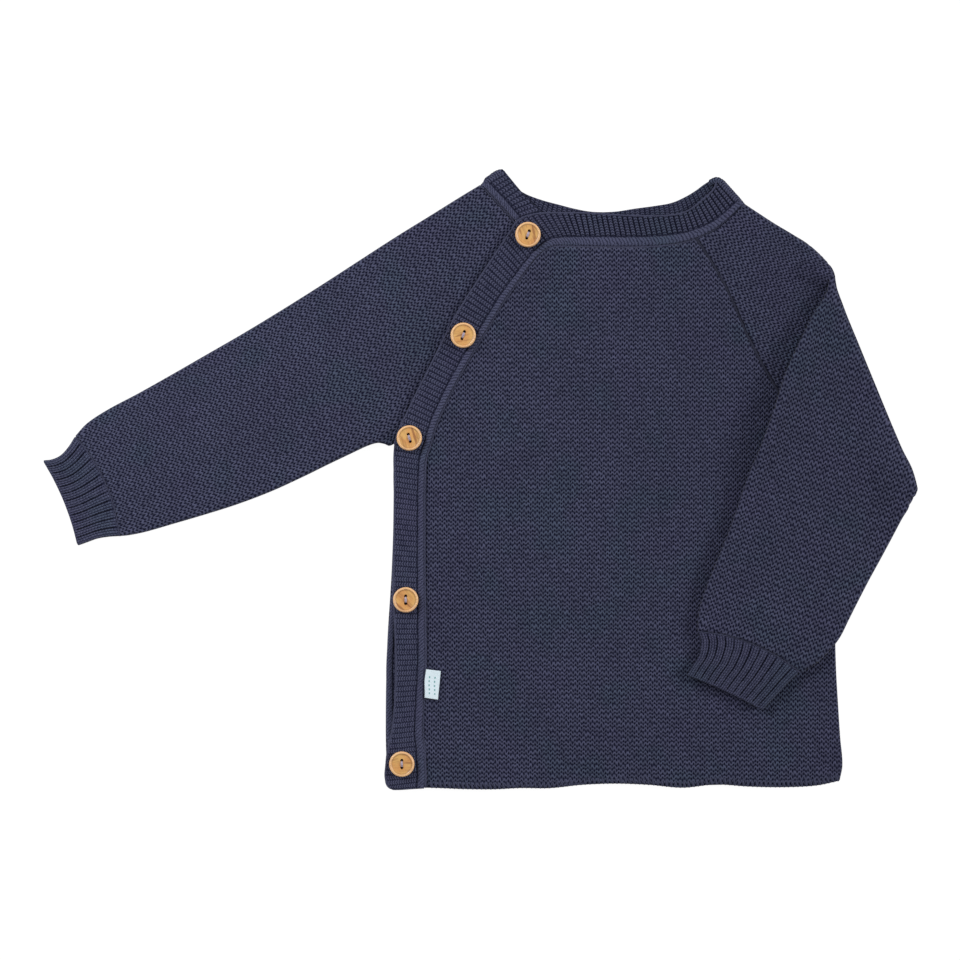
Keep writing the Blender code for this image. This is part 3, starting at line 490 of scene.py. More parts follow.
class Wall:
    """Grows one closed wall of cloth, or several, into a mesh."""

    def __init__(self):
        self.points, self.uvs, self.faces = [], [], []
        self.count = 0

    def add(self, points, heights, uvs):
        start = self.count
        self.points.append(np.column_stack([points, heights]))
        self.uvs.append(uvs)
        self.count += len(points)
        return np.arange(start, self.count)

    def sheet(self, loop, lay, top, bottom, relief, wave, edge=1.0, middle=None, stitched=(1, 0)):
        """A wall over an outline, stitched or plain on its upper and lower side. Both sides turn
        in to the outline's own height over a round of the given radius."""
        if middle is None:
            middle = lambda points: (top(points) + bottom(points)) / 2
        radius_of = edge if callable(edge) else lambda points: np.full(len(points), edge)
        ring = self.add(loop, middle(loop), lay.to_stitch(loop))
        for facing, surface, fine in ((1, top, stitched[0]), (-1, bottom, stitched[1])):
            if fine:
                points, uvs, depth = lay.lattice(loop, wave)
                spare = np.full(len(points), LATTICE_CLEAR)
            else:
                points, spare = plain_points(loop, radius_of(loop))
                uvs, depth = lay.to_stitch(points), np.zeros(len(points))
            keep = inside(points, loop)
            away, nearest = nearest_on(points[keep], loop)
            close = away > spare[keep]
            points, uvs, depth = points[keep][close], uvs[keep][close], depth[keep][close]
            away, nearest = away[close], nearest[close]
            radius = radius_of(nearest)
            turn = np.clip(away / radius, 0, 1) * math.pi / 2
            inset = np.where(away < radius, radius * (1 - np.cos(turn)), away)
            moved = nearest + (points - nearest) * (inset / away)[:, None]
            centre = middle(moved)
            sink = relief * depth * np.sin(turn)
            heights = centre + (surface(moved) - centre) * np.sin(turn) - facing * sink
            inner = self.add(moved, heights, uvs)
            index = np.concatenate([ring, inner])
            faces = index[join_up(np.vstack([loop, moved]), len(ring))]
            self.faces.append(faces if facing > 0 else faces[:, ::-1])

    def build(self, name, material):
        faces = np.vstack(self.faces)
        _, first, count = np.unique(np.sort(faces, 1), axis=0, return_index=True, return_counts=True)
        faces = faces[np.sort(first[count == 1])]
        used, faces = np.unique(faces, return_inverse=True)
        faces = faces.reshape(-1, 3)
        points = np.vstack(self.points)[used] * MM
        uvs = np.vstack(self.uvs)[used]
        return mesh_piece(name, points, uvs, faces.tolist(), material, face_out=False)


def nearest_on(points, loop):
    """Distance to an outline or line and the nearest place on it, exact near it."""
    tree = plan_tree(loop)
    found = np.array([tree.find((*p, 0))[1] for p in points])
    best = np.full(len(points), np.inf)
    place = loop[found].copy()
    for shift in (-1, 0):
        a = loop[(found + shift) % len(loop)]
        b = loop[(found + shift + 1) % len(loop)]
        along = b - a
        t = np.clip(((points - a) * along).sum(1) / np.maximum((along**2).sum(1), 1e-12), 0, 1)
        foot = a + along * t[:, None]
        gap = np.linalg.norm(points - foot, axis=1)
        closer = gap < best
        best[closer] = gap[closer]
        place[closer] = foot[closer]
    return best, place


def offset(loop, amount):
    """An outline drawn in by an even amount."""
    along = unit(np.roll(loop, -1, 0) - np.roll(loop, 1, 0))
    inward = np.stack([-along[:, 1], along[:, 0]], 1) * np.sign(signed_area(loop))
    return loop + inward * np.reshape(amount, (-1, 1))


class Patch:
    """A four-sided stretch of cloth in plan, between two long lines and their two ends. Its corners
    follow the outline, turning left: first line's start and end, second line's end and start. Ties
    are places on the first line, each with the place on the second line that lies across from it."""

    def __init__(self, loop, corners, ties=()):
        self.outline = loop
        a, b, c, d = corners
        self.lines = [resample(stretch(loop, a, b), TRACE, closed=False),
                      resample(stretch(loop, c, d), TRACE, closed=False)[::-1]]
        self.ends = [resample(stretch(loop, d, a), TRACE, closed=False)[::-1],
                     resample(stretch(loop, b, c), TRACE, closed=False)]
        self.runs = [run_of(line) for line in self.lines]
        knots = [[0.0], [0.0]]
        for tie in ties:
            for k in (0, 1):
                nearest = np.argmin(np.linalg.norm(self.lines[k] - np.array(tie[k]), axis=1))
                knots[k].append(self.runs[k][nearest])
        for k in (0, 1):
            knots[k].append(self.runs[k][-1])
        self.knots = knots
        self.middle = (np.array(knots[0]) + np.array(knots[1])) / 2
        self.length = self.middle[-1]

    def along(self, k, s):
        return at_run(self.lines[k], self.runs[k], np.interp(s, self.middle, self.knots[k]))

    def __call__(self, s, share):
        """The place at a run along the patch, and a share of the way from first line to second."""
        s, share = np.broadcast_arrays(s, share)
        t = s / self.length
        first, second = self.along(0, s), self.along(1, s)
        low, high = (at_run(end, run_of(end), share * run_of(end)[-1]) for end in self.ends)
        corner = lambda k, j: self.lines[k][-j]
        t, f = t[..., None], share[..., None]
        plain = ((1 - f) * ((1 - t) * corner(0, 0) + t * corner(0, 1))
                 + f * ((1 - t) * corner(1, 0) + t * corner(1, 1)))
        return (1 - f) * first + f * second + (1 - t) * low + t * high - plain


def lofted(name, rings, uvs, material, ring_ends=False):
    """A closed mesh through rings of points; the last ring meets the first, or both are capped."""
    stations, around = rings.shape[:2]
    i = np.arange(stations if ring_ends else stations - 1)[:, None]
    j = np.arange(around)[None, :]
    at = lambda a, b: (a % stations) * around + b % around
    quads = np.stack([at(i, j), at(i + 1, j), at(i + 1, j + 1), at(i, j + 1)], -1).reshape(-1, 4)
    faces = quads.tolist()
    if not ring_ends:
        faces += [list(range(around)), list(range((stations - 1) * around, stations * around))]
    return mesh_piece(name, rings.reshape(-1, 3) * MM, uvs.reshape(-1, 2), faces, material)


def placed(name, data):
    """A new object in the scene."""
    made = bpy.data.objects.new(name, data)
    bpy.context.scene.collection.objects.link(made)
    return made


def mesh_piece(name, points, uvs, faces, material, face_out=True):
    """A piece from points in metres, their places on the stitches, and faces, turned out if asked."""
    mesh = bpy.data.meshes.new(name)
    mesh.from_pydata(points.tolist(), [], faces)
    uv = mesh.uv_layers.new(name=UV_NAME)
    corners = np.empty(len(mesh.loops), np.int32)
    mesh.loops.foreach_get("vertex_index", corners)
    uv.data.foreach_set("uv", uvs[corners].astype(np.float32).ravel())
    if face_out:
        work = bmesh.new()
        work.from_mesh(mesh)
        bmesh.ops.recalc_face_normals(work, faces=work.faces)
        work.to_mesh(mesh)
        work.free()
    mesh.shade_smooth()
    mesh.materials.append(material)
    return placed(name, mesh)


# ---------------------------------------------------------------- materials

class Nodes:
    """Places nodes in a tree and links them, left to right."""

    def __init__(self, tree):
        self.tree = tree

    def node(self, kind, **values):
        made = self.tree.nodes.new(kind)
        for key, value in values.items():
            setattr(made, key, value)
        return made

    def plug(self, socket, value):
        if isinstance(value, bpy.types.NodeSocket):
            self.tree.links.new(value, socket)
        elif value is not None:
            socket.default_value = value

    def split(self, vector):
        made = self.node("ShaderNodeSeparateXYZ")
        self.plug(made.inputs[0], vector)
        return made.outputs

    def math(self, operation, *values):
        made = self.node("ShaderNodeMath", operation=operation)
        for socket, value in zip(made.inputs, values):
            self.plug(socket, value)
        return made.outputs[0]

    def mix(self, share, first, second):
        made = self.node("ShaderNodeMix", data_type="RGBA")
        self.plug(made.inputs["Factor"], share)
        self.plug(made.inputs[6], first)
        self.plug(made.inputs[7], second)
        return made.outputs[2]

    def noise(self, vector, scale, detail=2.0, roughness=0.5):
        made = self.node("ShaderNodeTexNoise")
        self.plug(made.inputs["Vector"], vector)
        self.plug(made.inputs["Scale"], scale)
        self.plug(made.inputs["Detail"], detail)
        self.plug(made.inputs["Roughness"], roughness)
        return made.outputs["Fac"]

    def cell(self, *values):
        where = self.node("ShaderNodeCombineXYZ")
        for socket, value in zip(where.inputs, values):
            self.plug(socket, value)
        made = self.node("ShaderNodeTexWhiteNoise", noise_dimensions="3D")
        self.tree.links.new(where.outputs[0], made.inputs["Vector"])
        return made.outputs["Value"]

    def ramp(self, value, low, high, start=0.0, end=1.0):
        made = self.node("ShaderNodeMapRange", interpolation_type="SMOOTHSTEP")
        for socket, given in zip(made.inputs, (value, low, high, start, end)):
            self.plug(socket, given)
        return made.outputs[0]

    def raise_by(self, shader, height, distance, strength=None):
        """Raises a shader's surface by a height, where 1 is a distance in millimetres."""
        made = self.node("ShaderNodeBump")
        self.plug(made.inputs["Strength"], strength)
        self.plug(made.inputs["Distance"], distance * MM)
        self.plug(made.inputs["Height"], height)
        self.plug(shader.inputs["Normal"], made.outputs[0])


def effect(name, inputs, outputs):
    """A node group with named sockets, and the Nodes that fill it."""
    group = bpy.data.node_groups.new(name, "ShaderNodeTree")
    for label, kind, value in inputs:
        socket = group.interface.new_socket(label, in_out="INPUT", socket_type=kind)
        if value is not None:
            socket.default_value = value
    for label, kind in outputs:
        group.interface.new_socket(label, in_out="OUTPUT", socket_type=kind)
    nodes = Nodes(group)
    source = nodes.node("NodeGroupInput").outputs
    target = nodes.node("NodeGroupOutput").inputs
    return nodes, source, target


TEAL = (0.044, 0.064, 0.098, 1)      # the yarn's two shades in uneven patches
PURPLE = (0.060, 0.054, 0.112, 1)
UNEVEN = (
    # how the rows stray: share of a row, turns along it, turns across the rows, start
    (0.10, 2.3, 1.3, 0.0), (0.09, 0.9, -2.1, 1.0), (0.07, 3.9, 0.7, 2.0),
)
STAGGER, STAGGER_TURN = 0.5, 2.4   # how far one rib's stitches are out of step with the next one's


def staggered(column):
    return STAGGER * np.sin(STAGGER_TURN * np.round(column))


def from_middle(column):
    """How far a place is from the middle of its rib or column: 0 there, 1 at its edge."""
    return 2 * np.abs(column - np.round(column))


def strayed(u, v):
    return sum(share * np.sin(a * u + b * v + start) for share, a, b, start in UNEVEN)


def spun(n, given, result, height, light, patchy, fibrous, purple, shown):
    """Gives a knit its colour and height: uneven yarn with fibres on it, painted dark as shade where it lies
    deep.
    Patchy and fibrous are shares of light and what is added, purple is the most of that shade, and
    shown are the heights where the yarn starts to show and shows in full."""
    coords = n.node("ShaderNodeTexCoord").outputs["Object"]
    patch = n.noise(coords, 22.0, 2.0)
    tint = n.noise(coords, 31.0, 3.0)
    fibre = n.noise(coords, 2600.0, 2.0, 0.7)
    light = n.math("MULTIPLY", light, n.math("MULTIPLY_ADD", patch, *patchy))
    light = n.math("MULTIPLY", light, n.math("MULTIPLY_ADD", fibre, *fibrous))
    yarn = n.mix(n.ramp(tint, 0.50, 0.66, 0.0, 0.5), given["Strand"], TEAL)
    yarn = n.mix(n.ramp(tint, 0.32, 0.46, purple, 0.0), yarn, PURPLE)
    bright = n.node("ShaderNodeVectorMath", operation="SCALE")
    n.plug(bright.inputs[0], yarn)
    n.plug(bright.inputs["Scale"], light)
    # painted shade: the low places take the hollow colour, as the shade that falls in the hollows
    n.plug(result["Color"], n.mix(n.ramp(height, *shown), given["Hollow"], bright.outputs[0]))
    n.plug(result["Height"], n.math("MULTIPLY_ADD", fibre, 0.16, height))


def purl_effect():
    """Wavy strands with hollows between them, painted dark as shade, from stitch coordinates."""
    name = "Purl stitches"
    if name in bpy.data.node_groups:
        return bpy.data.node_groups[name]
    n, given, result = effect(name, (
        ("Stitches", "NodeSocketVector", None),
        ("Wave", "NodeSocketFloat", 0.24),
        ("Strand", "NodeSocketColor", None),
        ("Hollow", "NodeSocketColor", None),
    ), (("Color", "NodeSocketColor"), ("Height", "NodeSocketFloat")))
    u, v, _ = n.split(given["Stitches"])
    turn = n.math("MULTIPLY", u, 2 * math.pi)
    sway = n.math("MULTIPLY", n.math("COSINE", turn), given["Wave"])
    phase = n.math("ADD", v, sway)
    for share, a, b, start in UNEVEN:
        swing = n.math("MULTIPLY_ADD", v, b, n.math("MULTIPLY_ADD", u, a, start))
        phase = n.math("MULTIPLY_ADD", n.math("SINE", swing), share, phase)
    row = n.math("ROUND", phase)
    off = n.math("ABSOLUTE", n.math("SUBTRACT", phase, row))
    strand = n.ramp(off, 0.03, 0.44, 1.0, 0.0)
    open_part = n.math("MULTIPLY_ADD", n.math("COSINE", n.math("MULTIPLY", turn, 2)), 0.5, 0.5)
    closed = n.math("MULTIPLY_ADD", open_part, -0.62, 0.62)
    uneven = n.noise(given["Stitches"], 1.7, 1.0)
    closed = n.math("MULTIPLY", closed, n.math("MULTIPLY_ADD", uneven, 1.6, 0.2))
    height = n.math("ADD", strand, n.math("MULTIPLY", n.math("SUBTRACT", 1.0, strand), closed))
    half = n.math("ROUND", n.math("MULTIPLY", u, 2))
    light = n.math("MULTIPLY_ADD", n.cell(half, row, 1.0), 0.34, 0.74)
    spun(n, given, result, height, light, (0.34, 0.92), (0.30, 0.86), 0.25, (0.22, 0.96))
    return bpy.data.node_groups[name]


def rib_effect():
    """Columns of V stitches between grooves, and the slanted chain of the joining bead. Grooves, gaps and the
    line where the bead meets the ribs sit low and are painted dark as shade.
    """
    name = "Rib stitches"
    if name in bpy.data.node_groups:
        return bpy.data.node_groups[name]
    n, given, result = effect(name, (
        ("Stitches", "NodeSocketVector", None),
        ("Columns", "NodeSocketFloat", 1.0),
        ("Groove", "NodeSocketFloat", 0.6),
        ("Bead", "NodeSocketFloat", 2.6),
        ("Openness", "NodeSocketFloat", 1.0),
        ("Between", "NodeSocketFloat", 0.45),
        ("Gaps", "NodeSocketFloat", 0.82),
        ("Rim", "NodeSocketFloat", -5.0),
        ("Strand", "NodeSocketColor", None),
        ("Hollow", "NodeSocketColor", None),
    ), (("Color", "NodeSocketColor"), ("Height", "NodeSocketFloat")))
    u, v, _ = n.split(given["Stitches"])

    def off_centre(value):
        apart = n.math("SUBTRACT", value, n.math("ROUND", value))
        return n.math("MULTIPLY", n.math("ABSOLUTE", apart), 2)

    column = n.math("MULTIPLY", u, given["Columns"])
    side = off_centre(column)
    out_of_step = n.math("SINE", n.math("MULTIPLY", n.math("ROUND", column), STAGGER_TURN))
    rise = n.math("MULTIPLY_ADD", side, 0.55, n.math("MULTIPLY_ADD", out_of_step, STAGGER, v))
    leg = n.ramp(off_centre(rise), 0.35, 0.95, 1.0, 0.0)
    leg = n.math("MULTIPLY", leg, n.ramp(side, 0.0, 0.16, 0.55, 1.0))
    between = n.ramp(side, 0.45, 0.98, 1.0, given["Between"])
    rib = n.ramp(off_centre(u), given["Groove"], 0.97, 1.0, 0.0)
    chance = n.cell(n.math("ROUND", column), n.math("ROUND", rise), 3.0)
    long = n.node("ShaderNodeMapping")
    n.plug(long.inputs["Vector"], given["Stitches"])
    long.inputs["Scale"].default_value = (0.9, 0.085, 1.0)
    uneven = n.ramp(n.noise(long.outputs[0], 1.1, 1.0), 0.36, 0.62, 0.35, 1.0)
    rib = n.math("MAXIMUM", rib, n.math("SUBTRACT", 1.0, n.math("MULTIPLY", given["Openness"], uneven)))
    rib = n.math("MAXIMUM", rib, n.ramp(n.math("SUBTRACT", v, given["Rim"]), -0.4, 0.4, 1.0, 0.0))
    gaps = n.math("MULTIPLY", n.math("SUBTRACT", 1.0, leg), given["Gaps"])
    stitched = n.math("MULTIPLY", n.math("SUBTRACT", 1.0, gaps), between)
    stitched = n.math("MULTIPLY", stitched, n.math("MULTIPLY_ADD", chance, 0.45, 0.70))
    ribbed = n.math("MULTIPLY", rib, stitched)
    stray = n.math("MULTIPLY", n.noise(given["Stitches"], 1.3, 1.0), 1.1)
    link = off_centre(n.math("MULTIPLY_ADD", v, 0.6, n.math("MULTIPLY_ADD", u, 1.5, stray)))
    chain = n.ramp(link, 0.2, 1.0, 1.0, 0.36)
    chain = n.math("MULTIPLY", chain, n.math("MULTIPLY_ADD", n.noise(given["Stitches"], 1.6, 1.0), 0.9, 0.5))
    joined = n.ramp(v, n.math("SUBTRACT", given["Bead"], 0.45), given["Bead"], 1.0, 0.0)
    # painted shade: the height, and so the colour, drops along the line where the bead meets the ribs,
    # darkening that groove as shade
    edge = n.ramp(n.math("ABSOLUTE", n.math("SUBTRACT", v, given["Bead"])), 0.05, 0.42, 0.4, 1.0)
    height = n.math("ADD", n.math("MULTIPLY", joined, chain),
                    n.math("MULTIPLY", n.math("SUBTRACT", 1.0, joined), ribbed))
    height = n.math("MULTIPLY", height, edge)
    spun(n, given, result, height, 1.0, (0.30, 0.94), (0.34, 0.84), 0.35, (0.14, 0.88))
    return bpy.data.node_groups[name]


def fresh(name):
    """A new material, the Nodes that fill it, and its shader."""
    made = bpy.data.materials.new(name)
    made.use_nodes = True
    return made, Nodes(made.node_tree), made.node_tree.nodes["Principled BSDF"]


def cloth_material(name, group, values, bump):
    if name in bpy.data.materials:
        return bpy.data.materials[name]
    made, n, shader = fresh(name)
    uv = n.node("ShaderNodeUVMap", uv_map=UV_NAME).outputs[0]
    look = n.node("ShaderNodeGroup", node_tree=group)
    n.plug(look.inputs["Stitches"], uv)
    for label, value in values.items():
        n.plug(look.inputs[label], value)
    n.plug(shader.inputs["Base Color"], look.outputs["Color"])
    n.raise_by(shader, look.outputs["Height"], bump, 1.0)
    n.plug(shader.inputs["Roughness"], 0.92)
    n.plug(shader.inputs["Sheen Weight"], 0.05)
    n.plug(shader.inputs["Sheen Roughness"], 0.5)
    n.plug(shader.inputs["Specular IOR Level"], 0.12)
    return made


def knit_material(context):
    knit = context.scene.cardigan_knit
    return cloth_material("Navy knit", purl_effect(), {
        "Wave": knit.wave, "Strand": tuple(knit.strand), "Hollow": tuple(knit.hollow)}, 0.5)


RISING = (-20.0, 90.0)     # the opening's ribs lie flat below the first height, less so above the second
NECK_SIDE = (34.0, 60.0)   # and stand full along the neck, past the second of these places to the side


def rib_material(context, name, columns, groove, bead, openness=1.0, rim=-5.0, between=0.45,
                 gaps=0.82, relaxed=False):
    rib = context.scene.cardigan_rib
    made = cloth_material(name, rib_effect(), {
        "Columns": columns, "Groove": groove, "Bead": bead, "Openness": openness, "Rim": rim,
        "Between": between, "Gaps": gaps,
        "Strand": tuple(rib.strand), "Hollow": tuple(rib.hollow)}, 0.4)
    if relaxed:
        n = Nodes(made.node_tree)
        x, y, _ = n.split(n.node("ShaderNodeTexCoord").outputs["Object"])
        look = next(node for node in made.node_tree.nodes if node.bl_idname == "ShaderNodeGroup")
        upward = n.ramp(y, RISING[0] * MM, RISING[1] * MM, 0.14, 0.42)
        aside = n.ramp(x, NECK_SIDE[0] * MM, NECK_SIDE[1] * MM, 0.0, 0.45)
        n.plug(look.inputs["Openness"], n.math("ADD", upward, aside))
    return made


def plain_material(name, colour, roughness=0.8):
    if name in bpy.data.materials:
        return bpy.data.materials[name]
    made, _, shader = fresh(name)
    shader.inputs["Base Color"].default_value = colour
    shader.inputs["Roughness"].default_value = roughness
    return made


# ---------------------------------------------------------------- pieces

def soft_fold(points, course, depth, width):
    """A crease along a short course of points: full along it, fading at its ends and sides."""
    path = np.array(course, float)
    run = run_of(path)
    best = np.full(len(points), np.inf)
    share = np.zeros(len(points))
    for a, b, start, end in zip(path, path[1:], run, run[1:]):
        along = b - a
        t = np.clip(((points - a) @ along) / (along @ along), 0, 1)
        gap = np.linalg.norm(points - a - t[:, None] * along, axis=1)
        closer = gap < best
        best[closer] = gap[closer]
        share[closer] = ((start + t * (end - start)) / run[-1])[closer]
    fade = np.sin(np.pi * np.clip(share, 0.02, 0.98)) ** 0.7
    return depth * fade * np.exp(-(best / width) ** 2)


# folds of the cloth: height, which is below 0 in a trough, half width, and course
FRONT_FOLDS = (
    (1.1, 46.0, ((56, 175), (60, -200))),
    (1.4, 9.0, ((27, 80), (31, 20), (30, -60), (28, -120))),
    (-1.2, 9.0, ((46, 140), (50, 60), (50, -20), (56, -90), (62, -182))),
    (-1.7, 9.0, ((172, 52), (154, 0), (139, -50), (130, -88))),
    (-1.4, 7.0, ((124, -112), (146, -132), (170, -140))),
    (-1.2, 8.0, ((176, -132), (196, -120), (208, -104))),
    (0.6, 12.0, ((70, 40), (78, -40), (92, -130))),
    (-0.5, 10.0, ((-22, -100), (-4, -150), (10, -178))),
)
SLEEVE_FOLDS = (
    (1.8, 8.0, ((204, 110), (191, 74), (173, 34), (154, -12), (138, -60), (131, -84))),
    (4.2, 9.0, ((207, 114), (197, 90), (185, 62), (171, 28), (160, 2))),
    (-0.9, 9.0, ((222, 62), (214, 20), (206, -24))),
    (0.8, 10.0, ((240, 20), (226, -30), (206, -70))),
)
SHOULDER_FOLDS_UNDER = (
    (-2.6, 11.0, ((201, 124), (192, 102), (179, 74), (166, 44))),
    (1.3, 9.0, ((172, 136), (166, 110), (158, 84))),
)


def folded(base, folds):
    def height(points):
        total = base(points)
        for depth, width, course in folds:
            total = total + soft_fold(points, course, depth, width)
        return total
    return height


def level(height):
    return lambda points: np.full(len(points), height)


def shifted(surface, by):
    return lambda points: surface(points) + by


def lowered(surface, by, floor):
    return lambda points: np.maximum(surface(points) - by, floor)


def kept_thick(surface, floor, relief):
    """A dented top that keeps the cloth's least thickness over a level floor."""
    least = floor + WALL_LEAST + relief
    return lambda points: least + WALL_EASE * np.logaddexp(0, (surface(points) - least) / WALL_EASE)


def declare(piece, nodes):
    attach(piece, BODY)
    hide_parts(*nodes)


def sewn_to(piece, sheet):
    """Makes a piece go with the sheet of cloth that it is sewn to or folded from."""
    piece.parent = bpy.data.objects[sheet]


class CardiganOperator(bpy.types.Operator):
    bl_options = {"REGISTER", "UNDO"}


class CARDIGAN_OT_front(CardiganOperator):
    """Knit the buttoned front"""
    bl_idname = "cardigan.front"
    bl_label = "Front"

    def execute(self, context):
        knit = context.scene.cardigan_knit
        side = Side("front_panel")
        loop = rounded(side.loop, EDGE_STEP)
        relief = knit.relief / MM
        top = kept_thick(folded(side.height(), FRONT_FOLDS), OVER_BACK, relief)
        wall = Wall()
        lay = Lay((0, -180), 89.5, knit.wale / MM, knit.course / MM)
        wall.sheet(loop, lay, top, lowered(top, KNIT, OVER_BACK), relief, knit.wave, FREE_EDGE)
        piece = wall.build("front_knit", knit_material(context))
        declare(piece, ["front_panel"])
        return {"FINISHED"}


class CARDIGAN_OT_back(CardiganOperator):
    """Knit the back, which lies under the front"""
    bl_idname = "cardigan.back"
    bl_label = "Back"

    def execute(self, context):
        knit = context.scene.cardigan_knit
        side = Side("back_panel")
        loop = rounded(side.loop, 2.0)
        wall = Wall()
        lay = Lay((0, -180), 90.0, knit.wale / MM, knit.course / MM)
        wall.sheet(loop, lay, side.height(), level(0.0), 0, knit.wave, FREE_EDGE, stitched=(0, 0))
        piece = wall.build("back_knit", knit_material(context))
        declare(piece, ["back_panel"])
        return {"FINISHED"}


def seam_edge(loops, small, large):
    """Radius of a wall's turned edge: small along a seam with one of the outlines, large elsewhere."""
    tree = plan_tree(np.vstack(loops))

    def radius(points):
        away = np.array([tree.find((*p, 0))[2] for p in points])
        return small + (large - small) * np.clip((away - SEAM_NEAR) / SEAM_NEAR, 0, 1)
    return radius


def sleeve_edge(neighbours):
    return seam_edge([resample(side.loop, FINE) for side in neighbours], SEAM_EDGE, TUBE / 2)


# Spots over a piece, which say which of its sides that face up is meant
RIGHT_SLEEVE_SPOT = (-120, 40)
OVER_SPOT, UNDER_SPOT = (190, -20), (165, 125)   # the left sleeve's leg on top, and the one below it
LEFT_CUFF_SPOT, NECK_SPOT = (150, -110), (60, 145)

LAYS = {
    # start, heading in degrees, width and height of a stitch, how the rows fan out, their slant
    "right_sleeve": ((-100, 70), 212, 2.47, 2.86, complex(-0.0003, -0.001)),
    "left_sleeve": ((195, 0), -106, 2.7, 3.06, complex(0, -0.0009), 4.8),
    "left_sleeve_under": ((165, 135), -32, 2.55, 2.8, complex(-0.0015, 0.0015)),
}
LOW_RIM, HIGH_RIM = KNIT + 0.1, KNIT + 0.2   # outline of a sleeve's lower and of its upper side
RIM_OFF = 0.1              # the same in the folded leg: above and below the middle of the tube


class CARDIGAN_OT_right_sleeve(CardiganOperator):
    """Knit the sleeve that lies out to the side"""
    bl_idname = "cardigan.right_sleeve"
    bl_label = "Right sleeve"

    def execute(self, context):
        knit = context.scene.cardigan_knit
        side = Side("right_sleeve", RIGHT_SLEEVE_SPOT)
        loop = rounded(side.loop, EDGE_STEP)
        edge = sleeve_edge(Side(node) for node in ("right_cuff", "front_band", "under_band", "back_panel"))
        lay = Lay(*LAYS["right_sleeve"])
        wall = Wall()
        wall.sheet(loop, lay, side.height(), level(KNIT + SLEEVE_GAP), knit.relief / MM, knit.wave, edge,
                   level(HIGH_RIM))
        wall.sheet(loop, lay, level(KNIT), level(0.0), 0, knit.wave, edge, level(LOW_RIM),
                   stitched=(0, 0))
        piece = wall.build("right_sleeve_knit", knit_material(context))
        declare(piece, ["right_sleeve"])
        return {"FINISHED"}


FOLD_FOOT = (255.0, -7.0)  # the ends of the line that the left sleeve is folded on
FOLD_HEAD = (202.0, 126.5)
# what the leg below shows past its own outline, where the cloth heaps up in the fold's two ends
SHOULDER_CAP = ((188, 141), (195.5, 137.8), (199, 134.8), (202.5, 131.2), (206.1, 126.9), (208.3, 122.3),
                (209.3, 117.6), (208.6, 112.0), (200.0, 108.0), (190.0, 120.0))
ELBOW_CAP = ((256.6, 1.9), (249.8, 0.8), (246.2, -12.2), (249.8, -18.1), (253.3, -15.8), (255.7, -12.2),
             (256.8, -8.7), (257.4, -5.2), (257.5, -1.6))
SWELL_CENTRE, SWELL_REACH, SWELL_CLEAR = (203.5, 124.5), 15.0, 0.4


def swollen(low, high):
    """The leg below, which swells up at the shoulder and into the leg on top."""
    def height(points):
        away = np.linalg.norm(points - np.array(SWELL_CENTRE), axis=1)
        share = 1 - smooth(away, 0.25 * SWELL_REACH, SWELL_REACH)
        base = low(points)
        return base + (high(points) + SWELL_CLEAR - base) * share
    return height


class CARDIGAN_OT_left_sleeve(CardiganOperator):
    """Knit the sleeve that is folded over the front"""
    bl_idname = "cardigan.left_sleeve"
    bl_label = "Left sleeve"

    def execute(self, context):
        knit = context.scene.cardigan_knit
        relief, wave = knit.relief / MM, knit.wave
        over, under = Side("left_sleeve", OVER_SPOT), Side("left_sleeve", UNDER_SPOT)
        fold = stretch(resample(over.loop, FINE), FOLD_FOOT, FOLD_HEAD)
        base_edge = sleeve_edge((Side("left_cuff", LEFT_CUFF_SPOT), Side("front_panel"),
                                 Side("front_band", NECK_SPOT)))
        at_fold = seam_edge([fold], 1.0, 0.0)
        top = folded(over.height(), SLEEVE_FOLDS)
        below = kept_thick(folded(under.height(), SHOULDER_FOLDS_UNDER), OVER_BACK, relief)

        def edge(points):
            return base_edge(points) + at_fold(points) * TUBE / 2

        def over_rim(points):
            return top(points) - TUBE / 2 * (1 + at_fold(points)) + RIM_OFF

        def over_bottom(points):
            clear = np.maximum(top(points) - TUBE, below(points) + SLEEVE_GAP)
            return np.minimum(clear, top(points) - KNIT - SLEEVE_GAP - WALL_LEAST)

        def ground_rim(points):
            return LOW_RIM + at_fold(points) * TUBE / 2

        over_loop = rounded(over.loop, EDGE_STEP)
        under_loop = rounded(joined(joined(under.loop, np.array(SHOULDER_CAP)), np.array(ELBOW_CAP)),
                             EDGE_STEP)
        ground_loop = rounded(drawn_to(under.loop, fold, TUBE + KNIT), EDGE_STEP)
        over_lay, under_lay = Lay(*LAYS["left_sleeve"]), Lay(*LAYS["left_sleeve_under"])
        wall = Wall()
        wall.sheet(over_loop, over_lay, top, shifted(top, -KNIT), relief, wave, edge, over_rim)
        wall.sheet(over_loop, over_lay, shifted(top, -KNIT - SLEEVE_GAP), over_bottom, 0, wave, base_edge,
                   shifted(top, -TUBE / 2 - RIM_OFF), stitched=(0, 0))
        wall.sheet(under_loop, under_lay, swollen(below, top), level(KNIT + SLEEVE_GAP), relief, wave,
                   base_edge, level(HIGH_RIM))
        wall.sheet(ground_loop, under_lay, level(KNIT), level(0.0), 0, wave, edge, ground_rim,
                   stitched=(0, 0))
        piece = wall.build("left_sleeve_knit", knit_material(context))
        declare(piece, ["left_sleeve"])
        return {"FINISHED"}


EDGE_RADIUS, EDGE_IN, EDGE_SUNK = 0.6, 0.75, 0.45   # the yarn cast off along a band's free edge
BAND_SAMPLES = 8           # points along each rib
BAND_ROWS = 60             # points across a band's upper side
BAND_CREST, BAND_FLOOR, BEAD_TOP = 2.05, 1.2, 2.2   # heights of the ribs, beside the bead, and on it
BAND_GROOVE = 1.15         # height of the deepest grooves
BAND_MIDDLE = 0.9          # height of the band's outline
BAND_SEAM, BAND_EDGE, BAND_END = 0.9, 1.0, 1.2   # radii of its turned edges
BAND_FOOT = 0.8            # how far in from its edges its underside starts
BAND_STEP, BAND_CLEAR = 2.5, 1.0   # grid of heights under a band, and how far it keeps from the edge
BEAD_POINTS = 16           # points across the bead, on a band's upper side


